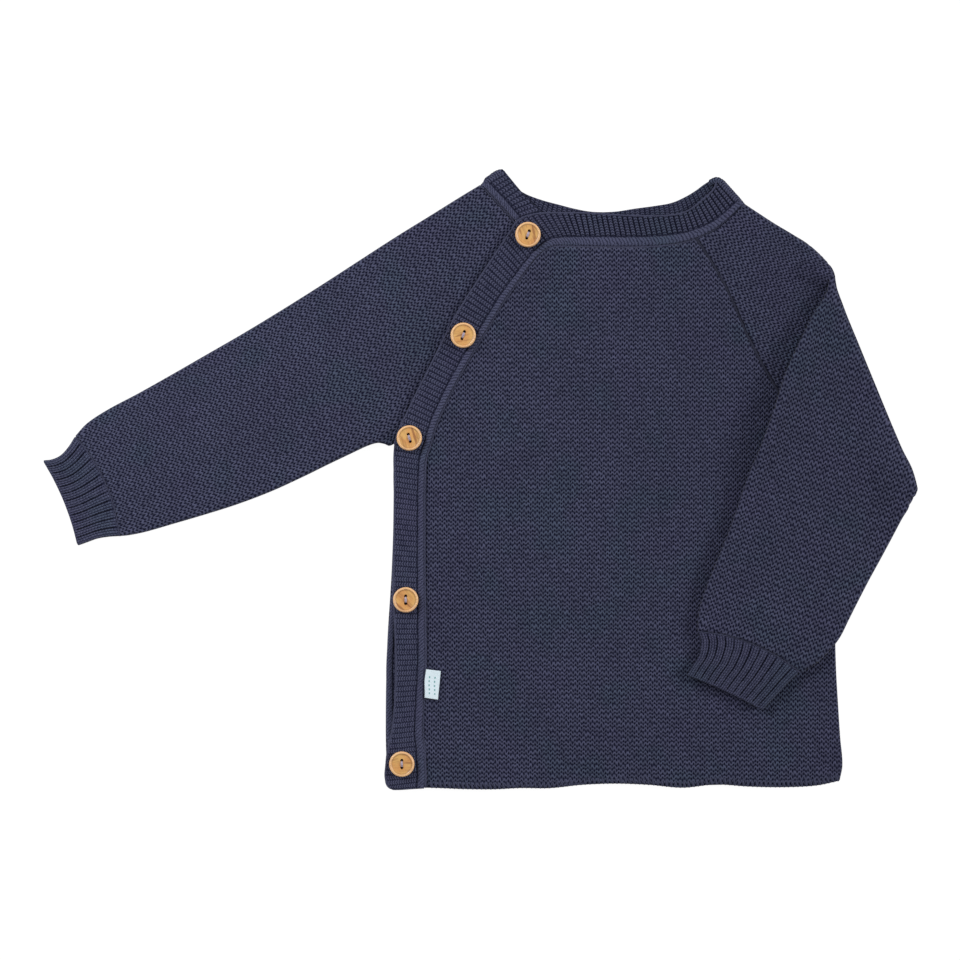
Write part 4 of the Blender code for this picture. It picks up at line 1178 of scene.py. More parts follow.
def slack(plan):
    """How full the front band's ribs stand, from 0 to 1."""
    return 0.1 + 0.25 * smooth(plan[..., 1], *RISING) + 0.6 * smooth(plan[..., 0], *NECK_SIDE)


# corners of each band in plan: seam start and end, free end and start; then places across from
# each other on the seam and the free edge
BANDS = {
    "front_band": (
        ((-32.4, -182.3), (154.1, 161.5), (139.4, 177.2), (-51.1, -183.2)),
        (((-31.3, 14.3), (-50.8, 17.3)), ((-26.2, 30.8), (-43.5, 39.1)), ((3.6, 87.6), (-14, 97.5)),
         ((28.6, 124.9), (15.5, 142.9)), ((41.6, 136.6), (28.5, 155.2)), ((62.3, 137.3), (61, 156.4)),
         ((117.8, 139.3), (116.4, 155.7)))),
    "back_neck_band": (
        ((9.6, 165.7), (150.9, 158.1), (137.1, 177.3), (19.7, 175.4)),
        (((21.4, 155.3), (27.9, 168.5)), ((42.7, 143.2), (46.8, 162.5)), ((79.2, 137.6), (79.2, 158.3)),
         ((118.2, 139.7), (112.9, 163.4)), ((132.9, 144.4), (122.9, 167.8)))),
    "under_band": (
        ((2.4, 172.5), (-53.0, -180.4), (-35.2, -180.7), (14.8, 181.6)),
        (((14.3, 159.8), (24.4, 170)), ((21.7, 151.5), (35.6, 158.3)), ((20.2, 140.6), (36.2, 133.5)),
         ((-12.4, 96.6), (1.2, 88.9)), ((-50.1, 12.5), (-34.9, 11.4)), ((-54.8, -99.6), (-34.9, -99.6)))),
}


def under_side(node):
    """Height of the underside of a band, over the plan."""
    return Side(node, facing=-1).height(step=BAND_STEP, clear=BAND_CLEAR)


def band_height(e, rib, bead, stitch, relax):
    """Height over a band's base, from the seam edge inward and along its ribs (in rib pitches)."""
    q = from_middle(rib)
    half = bead / 2
    chain = BAND_FLOOR + (BEAD_TOP - BAND_FLOOR) * np.sqrt(np.clip(1 - ((e - half) / half) ** 2, 0, 1))
    slant = 1.5 * rib + 0.43 * e
    chain = chain + 0.05 * np.cos(2 * np.pi * slant) * (e < bead)
    groove = (BAND_CREST - BAND_GROOVE) * relax * smooth(q, 0.45, 1.0)
    leg = 0.09 * np.cos(2 * np.pi * (e / stitch + staggered(rib) + 0.275 * q))
    ribbed = BAND_CREST - groove + leg * (1 - smooth(q, 0.6, 1.0))
    ribbed = BAND_FLOOR + (ribbed - BAND_FLOOR) * smooth(e - bead, 0.1, 1.1)
    return np.where(e < bead, chain, ribbed)


def strip(name, patch, base, rib, material, relax):
    """A ribbed band on its base, its ribs running from the seam to the free edge."""
    pitch, bead = rib.pitch / MM, rib.bead / MM
    ribs = max(1, round(patch.length / pitch))
    s = np.linspace(0, patch.length, ribs * BAND_SAMPLES + 1)
    along = (s / patch.length * ribs)[:, None]
    stitch = rib.stitch / MM
    width = np.linalg.norm(patch(s, 0.0) - patch(s, 1.0), axis=1)[:, None]
    ends = 1 - np.cos(QUARTER)
    chain = np.linspace(BAND_SEAM, bead + 1.2, BEAD_POINTS)
    rest = np.linspace(0, 1, BAND_ROWS - len(chain) - 2 * len(ends) + 1)[1:]
    e = np.hstack([np.tile(BAND_SEAM * ends, (len(s), 1)), np.tile(chain, (len(s), 1)),
                   chain[-1] + rest * (width - BAND_EDGE - chain[-1]),
                   width - BAND_EDGE * ends[::-1]])
    turn = np.concatenate([np.sin(QUARTER), np.ones(len(chain) + len(rest)), np.sin(QUARTER[::-1])])
    fall = round_off(np.minimum(s, patch.length - s)[:, None] / BAND_END, 0.02)
    plan = patch(s[:, None], e / width)
    high = band_height(e, along, bead, stitch, relax(plan))
    low = base(plan.reshape(-1, 2)).reshape(e.shape)
    upper = low + BAND_MIDDLE + (high - BAND_MIDDLE) * turn * fall
    under = np.hstack([width - BAND_FOOT, width * 0.75, width * 0.5, width * 0.25, width * 0 + BAND_FOOT])
    under_plan = patch(s[:, None], under / width)
    floor = base(under_plan.reshape(-1, 2)).reshape(under.shape) + BAND_MIDDLE * (1 - fall)
    rings = np.concatenate([np.dstack([plan, upper]), np.dstack([under_plan, floor])], 1)
    u = np.broadcast_to(along, rings.shape[:2])
    v = np.hstack([e, under]) / stitch
    return lofted(name, rings, np.dstack([u, v]), material)


def band(context, node, name, material, relax):
    """Makes a band, and gives the course of the yarn cast off along its free edge."""
    rib = context.scene.cardigan_rib
    corners, ties = BANDS[node]
    loop = rounded(Side(node).loop, TRIM_STEP)
    patch = Patch(loop, corners, ties)
    base = under_side(node)
    piece = strip(name, patch, base, rib, material, relax)
    declare(piece, [node])
    at = np.arange(2.0, patch.length - 1.0, 0.8)
    line = patch(at, 1.0)
    line = line + EDGE_IN * unit(patch(at, 0.96) - line)
    return np.column_stack([line, base(line) + BAND_CREST - EDGE_SUNK])


class CARDIGAN_OT_bands(CardiganOperator):
    """Knit the ribbed bands of the opening and the neck"""
    bl_idname = "cardigan.bands"
    bl_label = "Bands"

    def execute(self, context):
        rib = context.scene.cardigan_rib
        bead = rib.bead / rib.stitch
        neck = rib_material(context, "Neck rib", 1.0, 0.5, bead, 0.35)
        under = rib_material(context, "Under rib", 1.0, 0.5, bead, 0.3)
        front = rib_material(context, "Front rib", 1.0, 0.5, bead, relaxed=True)
        made = band(context, "front_band", "front_band_knit", front, slack)
        band(context, "under_band", "under_band_knit", under, lambda plan: 0.3)
        band(context, "back_neck_band", "back_band_knit", neck, lambda plan: 0.5)
        yarn = thread_material("Edge yarn", tuple(rib.strand))
        sewn_to(strands("band_edge", [made], EDGE_RADIUS, yarn), "front_band_knit")
        return {"FINISHED"}


CUFF_COLUMNS = 3           # columns of stitches on each rib
CUFF_SAMPLES = 15          # points across each rib
CUFF_ROWS = 60             # rings of points from the sleeve to the open edge
CUFF_HOLLOW = (0.985, 0.9, 0.5, 0.1, 0.02)   # rings inside it, as shares of the way from the sleeve
SLOT = 0.1                 # half the height of the hollow inside a cuff

# corners of each cuff in plan: seam at the underarm and shoulder side, open edge at the shoulder
# and underarm side
CUFFS = {
    "right_cuff": ((-212.8, -33.6), (-239.0, 25.5), (-258.1, 11.2), (-237.5, -39.3)),
    "left_cuff": ((188.4, -113.9), (128.2, -89.8), (121.7, -115.4), (166.3, -136.1)),
}


def cuff(context, node, material):
    """A flat ribbed tube, open at its end."""
    rib = context.scene.cardigan_rib
    side = Side(node)
    patch = Patch(rounded(side.loop, TRIM_STEP), CUFFS[node])
    top, bottom = side.height(clear=3.0), Side(node, facing=-1).height(clear=3.0)
    long = np.linalg.norm(patch(patch.length / 2, 0.0) - patch(patch.length / 2, 1.0))
    turn = 1 - np.cos(QUARTER)
    radius = TUBE / 2
    even = np.linspace(radius, patch.length - radius, rib.cuff_ribs * CUFF_SAMPLES)
    over = np.concatenate([radius * turn, even, patch.length - radius * turn[::-1]])
    under = np.linspace(patch.length - radius, radius, 30)
    across = np.concatenate([over, under])
    facing = np.concatenate([np.ones(len(over)), -np.ones(len(under))])
    rise = round_off(np.minimum(across, patch.length - across) / radius)
    rings, uvs = [], []
    stations = [(share, 0) for share in np.linspace(0, 1, CUFF_ROWS)]
    stations += [(share, 1) for share in CUFF_HOLLOW]
    for share, inner in stations:
        from_edge, from_seam = (1 - share) * long, share * long
        depth = 1.0
        if not inner:
            depth = 0.5 * (1 - round_off(min(from_edge, from_seam / SEAM_EDGE)))
        place = across + (np.clip(across, KNIT, patch.length - KNIT) - across) * depth
        plan = patch(place, share)
        high, low = top(plan), bottom(plan)
        middle = (high + low) / 2
        half = (high - low) / 2 * rise
        u = across / patch.length * rib.cuff_ribs - 0.5
        groove, column = from_middle(u), from_middle(u * CUFF_COLUMNS)
        v = from_edge / (rib.cuff_stitch / MM)
        relief = rib.depth / MM * smooth(groove, 0.76, 1.0) + 0.34 * smooth(column, 0.45, 1.0)
        phase = v + staggered(u * CUFF_COLUMNS) + 0.25 * column
        relief = relief - 0.07 * np.cos(2 * np.pi * phase)
        relief = relief * smooth(from_edge, 0.4, 2.4) * smooth(from_seam, 1.0, 3.0) * rise
        relief = relief * (1 - depth) * (facing > 0)
        outer = middle + facing * (half - relief)
        inside_face = middle + facing * SLOT * rise
        rings.append(np.column_stack([plan, outer + (inside_face - outer) * depth]))
        uvs.append(np.column_stack([u, np.full(len(u), v)]))
    piece = lofted(node + "_knit", np.array(rings), np.array(uvs), material, ring_ends=True)
    declare(piece, [node])


class CARDIGAN_OT_cuffs(CardiganOperator):
    """Knit the ribbed cuffs"""
    bl_idname = "cardigan.cuffs"
    bl_label = "Cuffs"

    def execute(self, context):
        material = rib_material(context, "Cuff rib", CUFF_COLUMNS, 0.64, -5.0, openness=0.9, rim=1.1,
                                between=0.3, gaps=0.5)
        for node in CUFFS:
            cuff(context, node, material)
        return {"FINISHED"}


# outline of a button from the middle of its back, round its rim, to the middle of its face
BUTTON_TURN = (
    # radius, height
    (0.0, 0.0), (5.4, 0.0), (6.6, 0.35), (7.2, 0.9), (7.45, 1.6), (7.42, 2.3), (7.2, 2.8), (6.85, 3.06),
    (6.5, 3.1), (6.2, 2.98), (5.95, 2.72), (5.6, 2.6), (4.5, 2.6), (3.0, 2.64), (0.0, 2.66),
)
BUTTON_STEPS = 72
HOLE_APART, HOLE_RADIUS, HOLE_RIM, HOLE_STEPS = 4.3, 0.88, 1.15, 20
HOLE_LINES = (70, 70, 105, 90, 90)   # direction of each button's two holes, in degrees
THREADS = (-0.45, 0.0, 0.45)         # sideways place of the strands that hold a button
THREAD_RADIUS = 0.27
THREAD_PATH = ((1.62, 0.6), (1.56, 1.9), (1.34, 2.5), (0.9, 2.84), (0.0, 2.94))


def wood_material(context):
    name = "Olive wood"
    if name in bpy.data.materials:
        return bpy.data.materials[name]
    made, n, shader = fresh(name)
    coords = n.node("ShaderNodeTexCoord").outputs["Object"]
    chance = n.node("ShaderNodeObjectInfo").outputs["Random"]
    spin = n.node("ShaderNodeVectorRotate", rotation_type="Z_AXIS")
    n.plug(spin.inputs["Vector"], coords)
    n.plug(spin.inputs["Angle"], n.math("MULTIPLY", chance, 3.1))
    shift = n.node("ShaderNodeVectorMath", operation="ADD")
    n.plug(shift.inputs[0], spin.outputs[0])
    away = n.node("ShaderNodeCombineXYZ")
    n.plug(away.inputs[0], chance)
    n.plug(away.inputs[1], n.math("MULTIPLY", chance, 7.0))
    n.plug(shift.inputs[1], away.outputs[0])
    grain_space = n.node("ShaderNodeMapping")
    n.plug(grain_space.inputs["Vector"], shift.outputs[0])
    grain_space.inputs["Scale"].default_value = (1.0, 0.16, 1.0)
    grain = n.noise(grain_space.outputs[0], 900.0, 4.0, 0.6)
    streak = n.noise(grain_space.outputs[0], 330.0, 3.0, 0.55)
    cloud = n.noise(shift.outputs[0], 190.0, 2.0)
    wood = tuple(context.scene.cardigan_trim.wood)
    colour = n.mix(n.ramp(cloud, 0.35, 0.65), wood, (0.64, 0.37, 0.12, 1))
    colour = n.mix(n.ramp(streak, 0.52, 0.66, 0.0, 0.85), colour, (0.27, 0.10, 0.035, 1))
    colour = n.mix(n.ramp(grain, 0.42, 0.72, 0.0, 0.45), colour, (0.32, 0.14, 0.045, 1))
    x, y, _ = n.split(coords)
    radius = n.math("SQRT", n.math("ADD", n.math("POWER", x, 2.0), n.math("POWER", y, 2.0)))
    # painted highlight: the raised rim is painted lighter, as the light it catches
    rim = n.ramp(radius, 5.9 * MM, 6.5 * MM, 0.0, 0.62)
    colour = n.mix(rim, colour, (0.80, 0.50, 0.27, 1))
    # painted shade: a dark line in the step inside the rim, as shade in that groove
    step = n.ramp(n.math("ABSOLUTE", n.math("SUBTRACT", radius, 5.85 * MM)), 0.05 * MM, 0.5 * MM, 0.35, 0.0)
    colour = n.mix(step, colour, (0.22, 0.11, 0.04, 1))
    n.plug(shader.inputs["Base Color"], colour)
    n.plug(shader.inputs["Roughness"], n.ramp(grain, 0.3, 0.7, 0.36, 0.5))
    n.raise_by(shader, n.math("MULTIPLY", grain, -1.0), 0.08, 0.5)
    return made


def shaded(colour, share):
    return tuple(share * part for part in colour[:3]) + (1,)


def thread_material(name, colour):
    if name in bpy.data.materials:
        return bpy.data.materials[name]
    made = plain_material(name, colour, 0.75)
    n = Nodes(made.node_tree)
    shader = made.node_tree.nodes["Principled BSDF"]
    fibre = n.noise(n.node("ShaderNodeTexCoord").outputs["Object"], 3200.0, 3.0, 0.6)
    dark = shaded(colour, 0.6)
    n.plug(shader.inputs["Base Color"], n.mix(n.ramp(fibre, 0.35, 0.65), dark, colour))
    n.plug(shader.inputs["Specular IOR Level"], 0.1)
    n.raise_by(shader, fibre, 0.1)
    return made


def turned(profile, steps):
    """Points and faces of a turned shape whose profile starts and ends on its axis."""
    points = [(0.0, 0.0, profile[0][1])]
    for radius, height in profile[1:-1]:
        for k in range(steps):
            angle = 2 * math.pi * k / steps
            points.append((radius * math.cos(angle), radius * math.sin(angle), height))
    points.append((0.0, 0.0, profile[-1][1]))
    faces, rows, last = [], len(profile) - 2, len(points) - 1
    for k in range(steps):
        ahead = (k + 1) % steps
        faces.append((0, 1 + ahead, 1 + k))
        for row in range(rows - 1):
            a, b = 1 + row * steps, 1 + (row + 1) * steps
            faces.append((a + k, a + ahead, b + ahead, b + k))
        top = 1 + (rows - 1) * steps
        faces.append((top + k, top + ahead, last))
    return np.array(points), faces


def drilled(piece, angle):
    """Cuts a button's two holes, their rims eased."""
    top = BUTTON_TURN[-1][1]
    shape = ((0.0, -2.0), (HOLE_RADIUS, -2.0), (HOLE_RADIUS, top - 0.45), (HOLE_RIM, top + 0.02),
             (HOLE_RIM, top + 2.0), (0.0, top + 2.0))
    cutters = []
    for side in (-1, 1):
        points, faces = turned(shape, HOLE_STEPS)
        points = points + np.array([side * math.cos(angle), side * math.sin(angle), 0]) * HOLE_APART / 2
        mesh = bpy.data.meshes.new("drill")
        mesh.from_pydata((points * MM).tolist(), [], faces)
        drill = placed("drill", mesh)
        drill.location = piece.location
        cut = piece.modifiers.new("hole", "BOOLEAN")
        cut.object = drill
        cutters.append(drill)
    bpy.context.view_layer.update()
    graph = bpy.context.evaluated_depsgraph_get()
    mesh = bpy.data.meshes.new_from_object(piece.evaluated_get(graph))
    piece.modifiers.clear()
    piece.data = mesh
    mesh.shade_smooth()
    mesh.set_sharp_from_angle(angle=math.radians(42))
    for drill in cutters:
        bpy.data.objects.remove(drill)


def strand_rings(path, radius, sides=8):
    """Rings of a round strand along a path."""
    path = np.array(path, float)
    rings = []
    for k, at in enumerate(path):
        ahead = path[min(k + 1, len(path) - 1)] - path[max(k - 1, 0)]
        ahead = ahead / np.linalg.norm(ahead)
        side = np.cross(ahead, (0.0, 0.3, 1.0) if abs(ahead[2]) < 0.9 else (1.0, 0.0, 0.0))
        side = side / np.linalg.norm(side)
        rise = np.cross(side, ahead)
        angles = 2 * math.pi * np.arange(sides) / sides
        rings.append(at + radius * (np.cos(angles)[:, None] * side + np.sin(angles)[:, None] * rise))
    return np.array(rings)


def strands(name, paths, radius, material, sides=8):
    """Several round strands as one piece."""
    points, faces, uvs = [], [], []
    start = 0
    for path in paths:
        rings = strand_rings(path, radius, sides)
        count = len(rings)
        for i in range(count - 1):
            for j in range(sides):
                a, b = start + i * sides, start + (i + 1) * sides
                faces.append((a + j, a + (j + 1) % sides, b + (j + 1) % sides, b + j))
        faces.append([start + j for j in range(sides)])
        faces.append([start + (count - 1) * sides + j for j in range(sides)])
        points.append(rings.reshape(-1, 3))
        uvs.append(np.zeros((count * sides, 2)))
        start += count * sides
    return mesh_piece(name, np.vstack(points) * MM, np.vstack(uvs), faces, material)


# where two pieces are sewn together: the node whose outline the seam follows, a spot over that
# node, the seam's two ends, the outline turning left, and how deep the cord lies
SEAMS = (
    ("front_panel", (60, 0), (210.0, 19.0), (127.5, 142.5), 1.2),
    ("right_sleeve", RIGHT_SLEEVE_SPOT, (-50.0, 20.0), (1.1, 173.6), 2.2),
    ("front_band", None, (-32.4, -180.5), (153.8, 161.0), 2.2),
)
JOINS = (
    ("right_sleeve", RIGHT_SLEEVE_SPOT, (-50.0, 20.0), (1.1, 173.0), 1.3),
    ("front_band", None, (-32.4, -181.0), (154.1, 161.5), 1.3),
    ("right_cuff", None, (-212.8, -33.6), (-238.8, 24.9), 0.95),
    ("left_cuff", LEFT_CUFF_SPOT, (188.4, -113.9), (128.2, -89.8), 0.95),
)
# SEAM_SHADE: painted shade, the seam cord's brightness as a share of the strand's
SEAM_RADIUS, SEAM_OUT, SEAM_SHADE = 0.95, 0.35, 0.5
JOIN_RADIUS, JOIN_WAVE, JOIN_PITCH = 0.7, 0.3, 2.7


def seam_line(node, spot, start, end):
    """The course of a seam in plan, and the height of the cloth along it."""
    side = Side(node, spot)
    line = stretch(offset(rounded(side.loop, FINE), -SEAM_OUT), start, end)
    line = resample(line, 0.9, closed=False)
    return line, side.height()(line)


def waved(line):
    """A seam's course swung from side to side like a row of stitches, straight at its ends."""
    run = run_of(line)
    ahead = np.gradient(line, axis=0)
    aside = unit(np.column_stack([ahead[:, 1], -ahead[:, 0]]))
    fade = np.clip(np.minimum(run, run[-1] - run) / JOIN_PITCH, 0, 1)
    return line + aside * (JOIN_WAVE * fade * np.sin(2 * np.pi * run / JOIN_PITCH))[:, None]


class CARDIGAN_OT_seams(CardiganOperator):
    """Sew the pieces together"""
    bl_idname = "cardigan.seams"
    bl_label = "Seams"

    def execute(self, context):
        cords, rows = [], []
        for *seam, sunk in SEAMS:
            line, height = seam_line(*seam)
            cords.append(np.column_stack([line, height - sunk]))
        for *seam, sunk in JOINS:
            line, height = seam_line(*seam)
            rows.append(np.column_stack([waved(line), height - sunk]))
        rib = context.scene.cardigan_rib
        # the cord is real seam yarn, but it is painted at half the strand's brightness as the shade in the
        # seam's groove
        dark = shaded(rib.strand, SEAM_SHADE)
        for name, lines, radius, material in (
                ("seam_yarn", cords, SEAM_RADIUS, thread_material("Seam yarn", dark)),
                ("join_yarn", rows, JOIN_RADIUS, bpy.data.materials["Edge yarn"])):
            sewn_to(strands(name, lines, radius, material), "front_knit")
        return {"FINISHED"}


# the folds at the shoulders, where the neck band turns from the front to the back: the band over
# and the band under each, and the fold's course
SHOULDER_FOLDS = (
    ("left_shoulder_fold", "front_band", "back_neck_band",
     ((156.0, 160.0), (152.4, 164.4), (147.6, 169.8), (143.0, 174.9), (141.0, 176.1), (139.4, 176.4),
      (137.2, 175.3), (135.9, 173.8))),
    ("right_shoulder_fold", "under_band", "back_neck_band",
     ((1.0, 171.0), (2.6, 172.9), (4.5, 175.1), (6.3, 177.3), (8.0, 178.8), (9.9, 180.1), (11.8, 180.9),
      (13.4, 180.3), (14.6, 178.6))),
)
FOLD_HALF, FOLD_LEAST, FOLD_SIDES = 2.2, 3.0, 28   # half width, least height, points round it


class CARDIGAN_OT_shoulders(CardiganOperator):
    """Fold the neck band over at the shoulders"""
    bl_idname = "cardigan.shoulders"
    bl_label = "Shoulder folds"

    def execute(self, context):
        stitch = context.scene.cardigan_rib.stitch / MM
        angles = 2 * math.pi * np.arange(FOLD_SIDES) / FOLD_SIDES
        for name, over, under, course in SHOULDER_FOLDS:
            line = resample(np.array(course), 0.3, closed=False)
            run = run_of(line)
            length = run[-1]
            along = unit(np.gradient(line, axis=0))
            high = under_side(over)(line) + BAND_CREST + 0.1
            low = np.minimum(under_side(under)(line), high - FOLD_LEAST)
            rings, uvs = [], []
            for k, at in enumerate(run):
                size = round_off(max(min(at, length - at) / FOLD_HALF, 0.02))
                leg = 0.1 * np.cos(2 * np.pi * (at / stitch + 0.3 * np.abs(np.cos(angles))))
                across = (FOLD_HALF + leg) * size * np.cos(angles)
                rise = ((high[k] - low[k]) / 2 + leg) * size * np.sin(angles)
                plan = line[k] + across[:, None] * np.array([along[k, 1], -along[k, 0]])
                rings.append(np.column_stack([plan, (high[k] + low[k]) / 2 + rise]))
                uvs.append(np.column_stack([0.5 * np.cos(angles), np.full(FOLD_SIDES, 6 + at / stitch)]))
            piece = lofted(name, np.array(rings), np.array(uvs), bpy.data.materials["Under rib"])
            sewn_to(piece, over + "_knit")
        return {"FINISHED"}


HEM = ((-31.0, -182.1), (211.0, -179.2))
HEM_PITCH, HEM_RADIUS = 2.66, 0.66
HEM_STITCH = (
    # along the hem, in from its edge, above the cloth
    (-0.25, 4.0, -0.75), (-0.1, 3.0, -0.1), (0.1, 1.9, 0.0), (0.3, 0.9, -0.3), (0.45, 0.35, -1.1),
)


class CARDIGAN_OT_hem(CardiganOperator):
    """Cast off the lower edge"""
    bl_idname = "cardigan.hem"
    bl_label = "Hem"

    def execute(self, context):
        side = Side("front_panel")
        line = resample(stretch(rounded(side.loop, TRIM_STEP), *HEM), HEM_PITCH, closed=False)
        ahead = unit(np.gradient(line, axis=0))
        inward = np.column_stack([-ahead[:, 1], ahead[:, 0]])
        line[0] -= 0.4 * HEM_PITCH * ahead[0]
        height = side.height()
        paths = []
        for k in range(len(line)):
            step = np.array(HEM_STITCH)
            lean = 1 + 0.5 * math.sin(2.1 * k) * math.cos(0.7 * k)
            plan = line[k] + lean * step[:, :1] * ahead[k] + step[:, 1:2] * inward[k]
            paths.append(np.column_stack([plan, height(line[k:k + 1] + 3 * inward[k:k + 1])[0] + step[:, 2]]))
        yarn = thread_material("Hem yarn", tuple(context.scene.cardigan_knit.strand))
        sewn_to(strands("hem_stitches", paths, HEM_RADIUS, yarn), "front_knit")
        return {"FINISHED"}


class CARDIGAN_OT_buttons(CardiganOperator):
    """Turn the wooden buttons and sew them on"""
    bl_idname = "cardigan.buttons"
    bl_label = "Buttons"

    def execute(self, context):
        material = wood_material(context)
        thread = thread_material("Button thread", (0.46, 0.39, 0.47, 1))
        for index, line in enumerate(HOLE_LINES, 1):
            node = f"button_{index}"
            low, high = (np.array(corner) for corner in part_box(node))
            centre = (low + high) / 2
            centre[2] = low[2]
            angle = math.radians(line)
            points, faces = turned(BUTTON_TURN, BUTTON_STEPS)
            piece = mesh_piece(node + "_turned", points * MM, points[:, :2], faces, material)
            piece.location = centre
            drilled(piece, angle)
            declare(piece, [node])
            half = np.array(THREAD_PATH)
            whole = np.vstack([half * (-1, 1), half[-2::-1]])
            along = np.array([math.cos(angle), math.sin(angle)])
            aside = np.array([-along[1], along[0]])
            paths = []
            for shift in THREADS:
                sway = shift * (0.75 + 0.25 * (1 - np.abs(whole[:, 0]) / whole[:, 0].max()))
                plan = whole[:, :1] * along + sway[:, None] * aside
                paths.append(np.column_stack([plan, whole[:, 1]]) + centre / MM)
            sewn = strands(node + "_thread", paths, THREAD_RADIUS, thread)
            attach(sewn, BODY)
        return {"FINISHED"}


# corners of the label in plan: at the seam above and below, at its fold below and above
LABEL_CORNERS = ((-31.8, -111.9), (-32.7, -128.6), (-24.6, -129.9), (-22.9, -113.1))
LEAF = 0.35                # thickness of the ribbon
LABEL_LIFT = 0.35          # how far its upper leaf stands off
DASH_ROWS = (2.7, 5.9)     # how far the two rows of dashes are from the seam


def ribbon_material(context):
    name = "Woven ribbon"
    if name in bpy.data.materials:
        return bpy.data.materials[name]
    made, n, shader = fresh(name)
    # millimetres from the seam, and along the ribbon
    x, y, _ = n.split(n.node("ShaderNodeUVMap", uv_map=UV_NAME).outputs[0])
    weft = n.math("SINE", n.math("MULTIPLY", y, 2 * math.pi / 0.32))
    warp = n.math("SINE", n.math("MULTIPLY", x, 2 * math.pi / 0.40))
    weave = n.math("MULTIPLY", weft, warp)
    ribbon = tuple(context.scene.cardigan_trim.ribbon)
    colour = n.mix(n.ramp(weave, -0.6, 0.8), shaded(ribbon, 0.96), ribbon)
    line, second = (n.ramp(n.math("ABSOLUTE", n.math("SUBTRACT", x, row)), 0.3, 0.5, 0.9, 0.0)
                    for row in DASH_ROWS)
    dash = n.ramp(n.math("SINE", n.math("MULTIPLY", y, 2 * math.pi / 2.4)), -0.2, 0.25)
    inner = n.math("MULTIPLY", n.ramp(n.math("ABSOLUTE", n.math("SUBTRACT", y, 8.4)), 5.6, 6.0, 1.0, 0.0),
                   n.math("MULTIPLY", n.math("MAXIMUM", line, second), dash))
    colour = n.mix(inner, colour, (0.10, 0.30, 0.30, 1))
    n.plug(shader.inputs["Base Color"], colour)
    n.plug(shader.inputs["Roughness"], 0.62)
    n.raise_by(shader, weave, 0.015)
    return made


class CARDIGAN_OT_label(CardiganOperator):
    """Fold the plain woven label and catch it in the seam"""
    bl_idname = "cardigan.label"
    bl_label = "Label"

    def execute(self, context):
        node = "side_label"
        seam_top, seam_foot, fold_foot, fold_top = (np.array(corner) for corner in LABEL_CORNERS)
        base = Side(node, facing=-1).height(step=1.5, clear=0.6)
        length = np.linalg.norm(fold_top - fold_foot)
        t = np.linspace(0, 1, 40)
        seam = seam_foot + (seam_top - seam_foot) * t[:, None]
        fold = fold_foot + (fold_top - fold_foot) * t[:, None]
        seam = seam + np.array([1.0, 0.0]) * (0.25 * np.sin(7.0 * t + 0.6))[:, None]
        width = np.linalg.norm(fold - seam, axis=1)[:, None]
        run = np.linspace(0, 1, 26)
        bend = np.linspace(0, math.pi, 9)[1:-1]
        tall = 3 * LEAF
        rings, uvs = [], []
        for k in range(len(t)):
            w = width[k, 0]
            reach = w - tall / 2
            high = np.concatenate([reach * run, reach + tall / 2 * np.sin(bend), reach * run[::-1],
                                   reach * run, reach + LEAF / 2 * np.sin(bend), reach * run[::-1]])
            level = np.concatenate([0 * run, tall / 2 * (1 - np.cos(bend)), 0 * run + tall,
                                    0 * run + tall - LEAF, tall / 2 + LEAF / 2 * np.cos(bend),
                                    0 * run + LEAF])
            lift = LABEL_LIFT * np.sin(np.pi * high / w) * (1 + 0.4 * math.sin(5 * t[k] + 1))
            share = (high / w)[:, None]
            plan = seam[k] * (1 - share) + fold[k] * share
            upper = (level > tall / 2).astype(float)
            z = base(plan) + level + lift * upper * (0.3 + 0.7 * (level > tall - LEAF / 2))
            rings.append(np.column_stack([plan, z]))
            uvs.append(np.column_stack([high, np.full(len(high), t[k] * length)]))
        piece = lofted("side_label_ribbon", np.array(rings), np.array(uvs), ribbon_material(context))
        declare(piece, [node])
        return {"FINISHED"}


# the stage is set in metres
FLOOR_HALF, FLOOR_SUNK = 6.0, 0.0002
FLOOR_GLOW, WORLD_GLOW = 0.95, 0.42
LIGHTS = (
    # name, kind, its size or the angle that it fills, power, place
    ("window", "AREA", 0.5, 11.8, (-0.85, 0.62, 0.70)),
    ("side", "SUN", math.radians(20), 2.05, (0.90, 0.22, 0.43)),
)
CAMERA_PLACE = (0.00019, -0.00043)
IN_FOCUS, SENSOR = 0.004, 36   # height at which the view is as wide as set, and millimetres of film


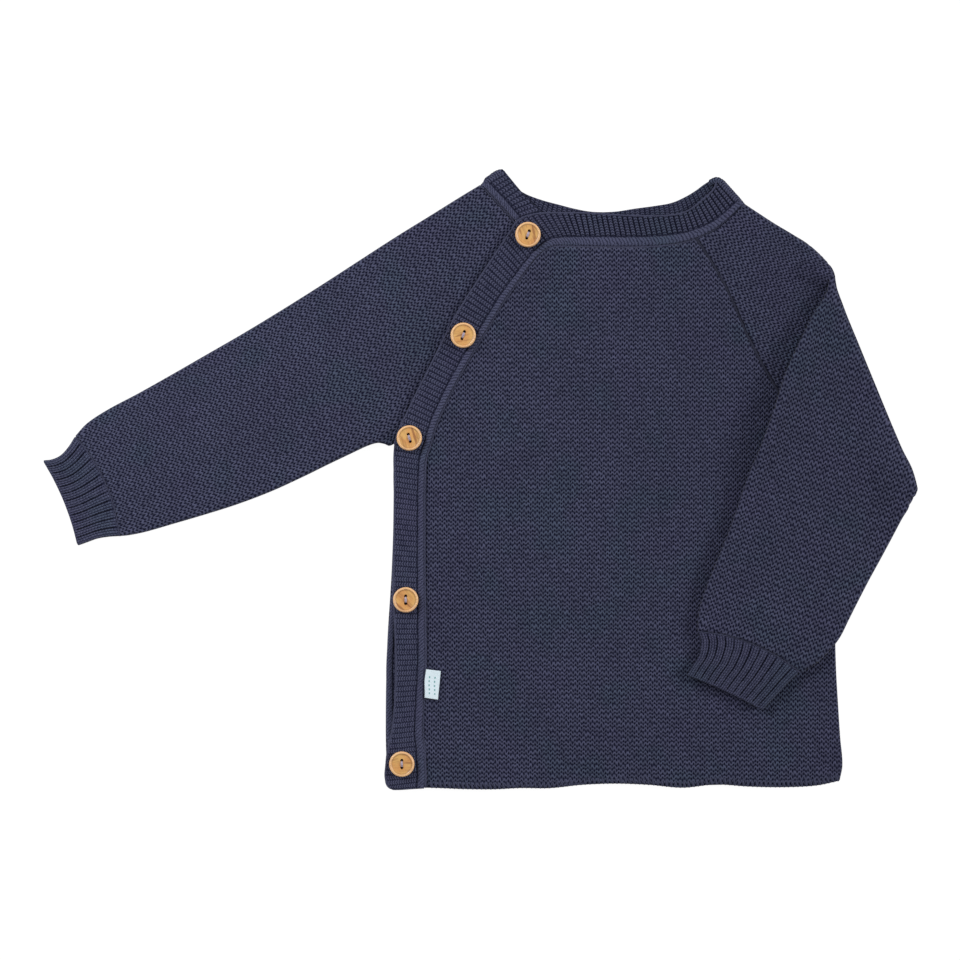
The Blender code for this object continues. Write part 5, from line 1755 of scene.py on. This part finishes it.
class CARDIGAN_OT_stage(CardiganOperator):
    """Set the floor, light and camera"""
    bl_idname = "cardigan.stage"
    bl_label = "Stage"

    def execute(self, context):
        stage = context.scene.cardigan_stage
        mesh = bpy.data.meshes.new("floor")
        corners = ((-1, -1), (1, -1), (1, 1), (-1, 1))
        mesh.from_pydata([(x * FLOOR_HALF, y * FLOOR_HALF, 0) for x, y in corners], [], [(0, 1, 2, 3)])
        floor = placed("floor", mesh)
        pale = plain_material("Pale floor", (0.08, 0.08, 0.08, 1), 0.9)
        glow = pale.node_tree.nodes["Principled BSDF"]
        glow.inputs["Emission Color"].default_value = (1, 1, 1, 1)
        glow.inputs["Emission Strength"].default_value = FLOOR_GLOW
        mesh.materials.append(pale)
        floor.location.z = -FLOOR_SUNK
        floor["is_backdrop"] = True
        world = bpy.data.worlds.new("Soft light")
        world.use_nodes = True
        sky = world.node_tree.nodes["Background"]
        sky.inputs["Color"].default_value = (1, 1, 1, 1)
        sky.inputs["Strength"].default_value = WORLD_GLOW
        context.scene.world = world
        for name, kind, width, power, place in LIGHTS:
            data = bpy.data.lights.new(name, kind)
            setattr(data, "size" if kind == "AREA" else "angle", width)
            data.energy = power
            lamp = placed(name, data)
            lamp.location = place
            lamp.rotation_mode = "QUATERNION"
            lamp.rotation_quaternion = (-Vector(place)).to_track_quat("-Z", "Y")
        data = bpy.data.cameras.new("camera")
        camera = placed("camera", data)
        camera.location = (*CAMERA_PLACE, stage.camera_height)
        data.sensor_width = SENSOR
        data.lens = SENSOR * (stage.camera_height - IN_FOCUS) / stage.view_width
        data.clip_start = 0.01
        context.scene.camera = camera
        context.scene.view_settings.view_transform = "Standard"
        return {"FINISHED"}


CLASSES = (CARDIGAN_OT_back, CARDIGAN_OT_front, CARDIGAN_OT_right_sleeve, CARDIGAN_OT_left_sleeve,
           CARDIGAN_OT_bands, CARDIGAN_OT_shoulders, CARDIGAN_OT_cuffs, CARDIGAN_OT_hem,
           CARDIGAN_OT_seams, CARDIGAN_OT_buttons, CARDIGAN_OT_label, CARDIGAN_OT_stage)


class CARDIGAN_PT_panel(bpy.types.Panel):
    """The cardigan's pieces and their settings"""
    bl_label = "Cardigan"
    bl_idname = "CARDIGAN_PT_panel"
    bl_space_type = "VIEW_3D"
    bl_region_type = "UI"
    bl_category = "Cardigan"

    def draw(self, context):
        for name, group in SETTINGS.items():
            box = self.layout.box()
            box.label(text=group.__doc__)
            for key in group.__annotations__:
                box.prop(getattr(context.scene, name), key)
        for operator in CLASSES:
            self.layout.operator(operator.bl_idname)


def register():
    for name, group in SETTINGS.items():
        bpy.utils.register_class(group)
        setattr(bpy.types.Scene, name, PointerProperty(type=group))
    for made in (*CLASSES, CARDIGAN_PT_panel):
        bpy.utils.register_class(made)


def unregister():
    for made in reversed((*CLASSES, CARDIGAN_PT_panel)):
        bpy.utils.unregister_class(made)
    for name, group in reversed(SETTINGS.items()):
        delattr(bpy.types.Scene, name)
        bpy.utils.unregister_class(group)


def main():
    register()
    for operator in CLASSES:
        group, name = operator.bl_idname.split(".")
        getattr(getattr(bpy.ops, group), name)()
    boxes = {"cad": CAD_BOX, "scene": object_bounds()}
    {key: [list(corner) for corner in box] for key, box in boxes.items()}


if __name__ == "__main__":
    main()
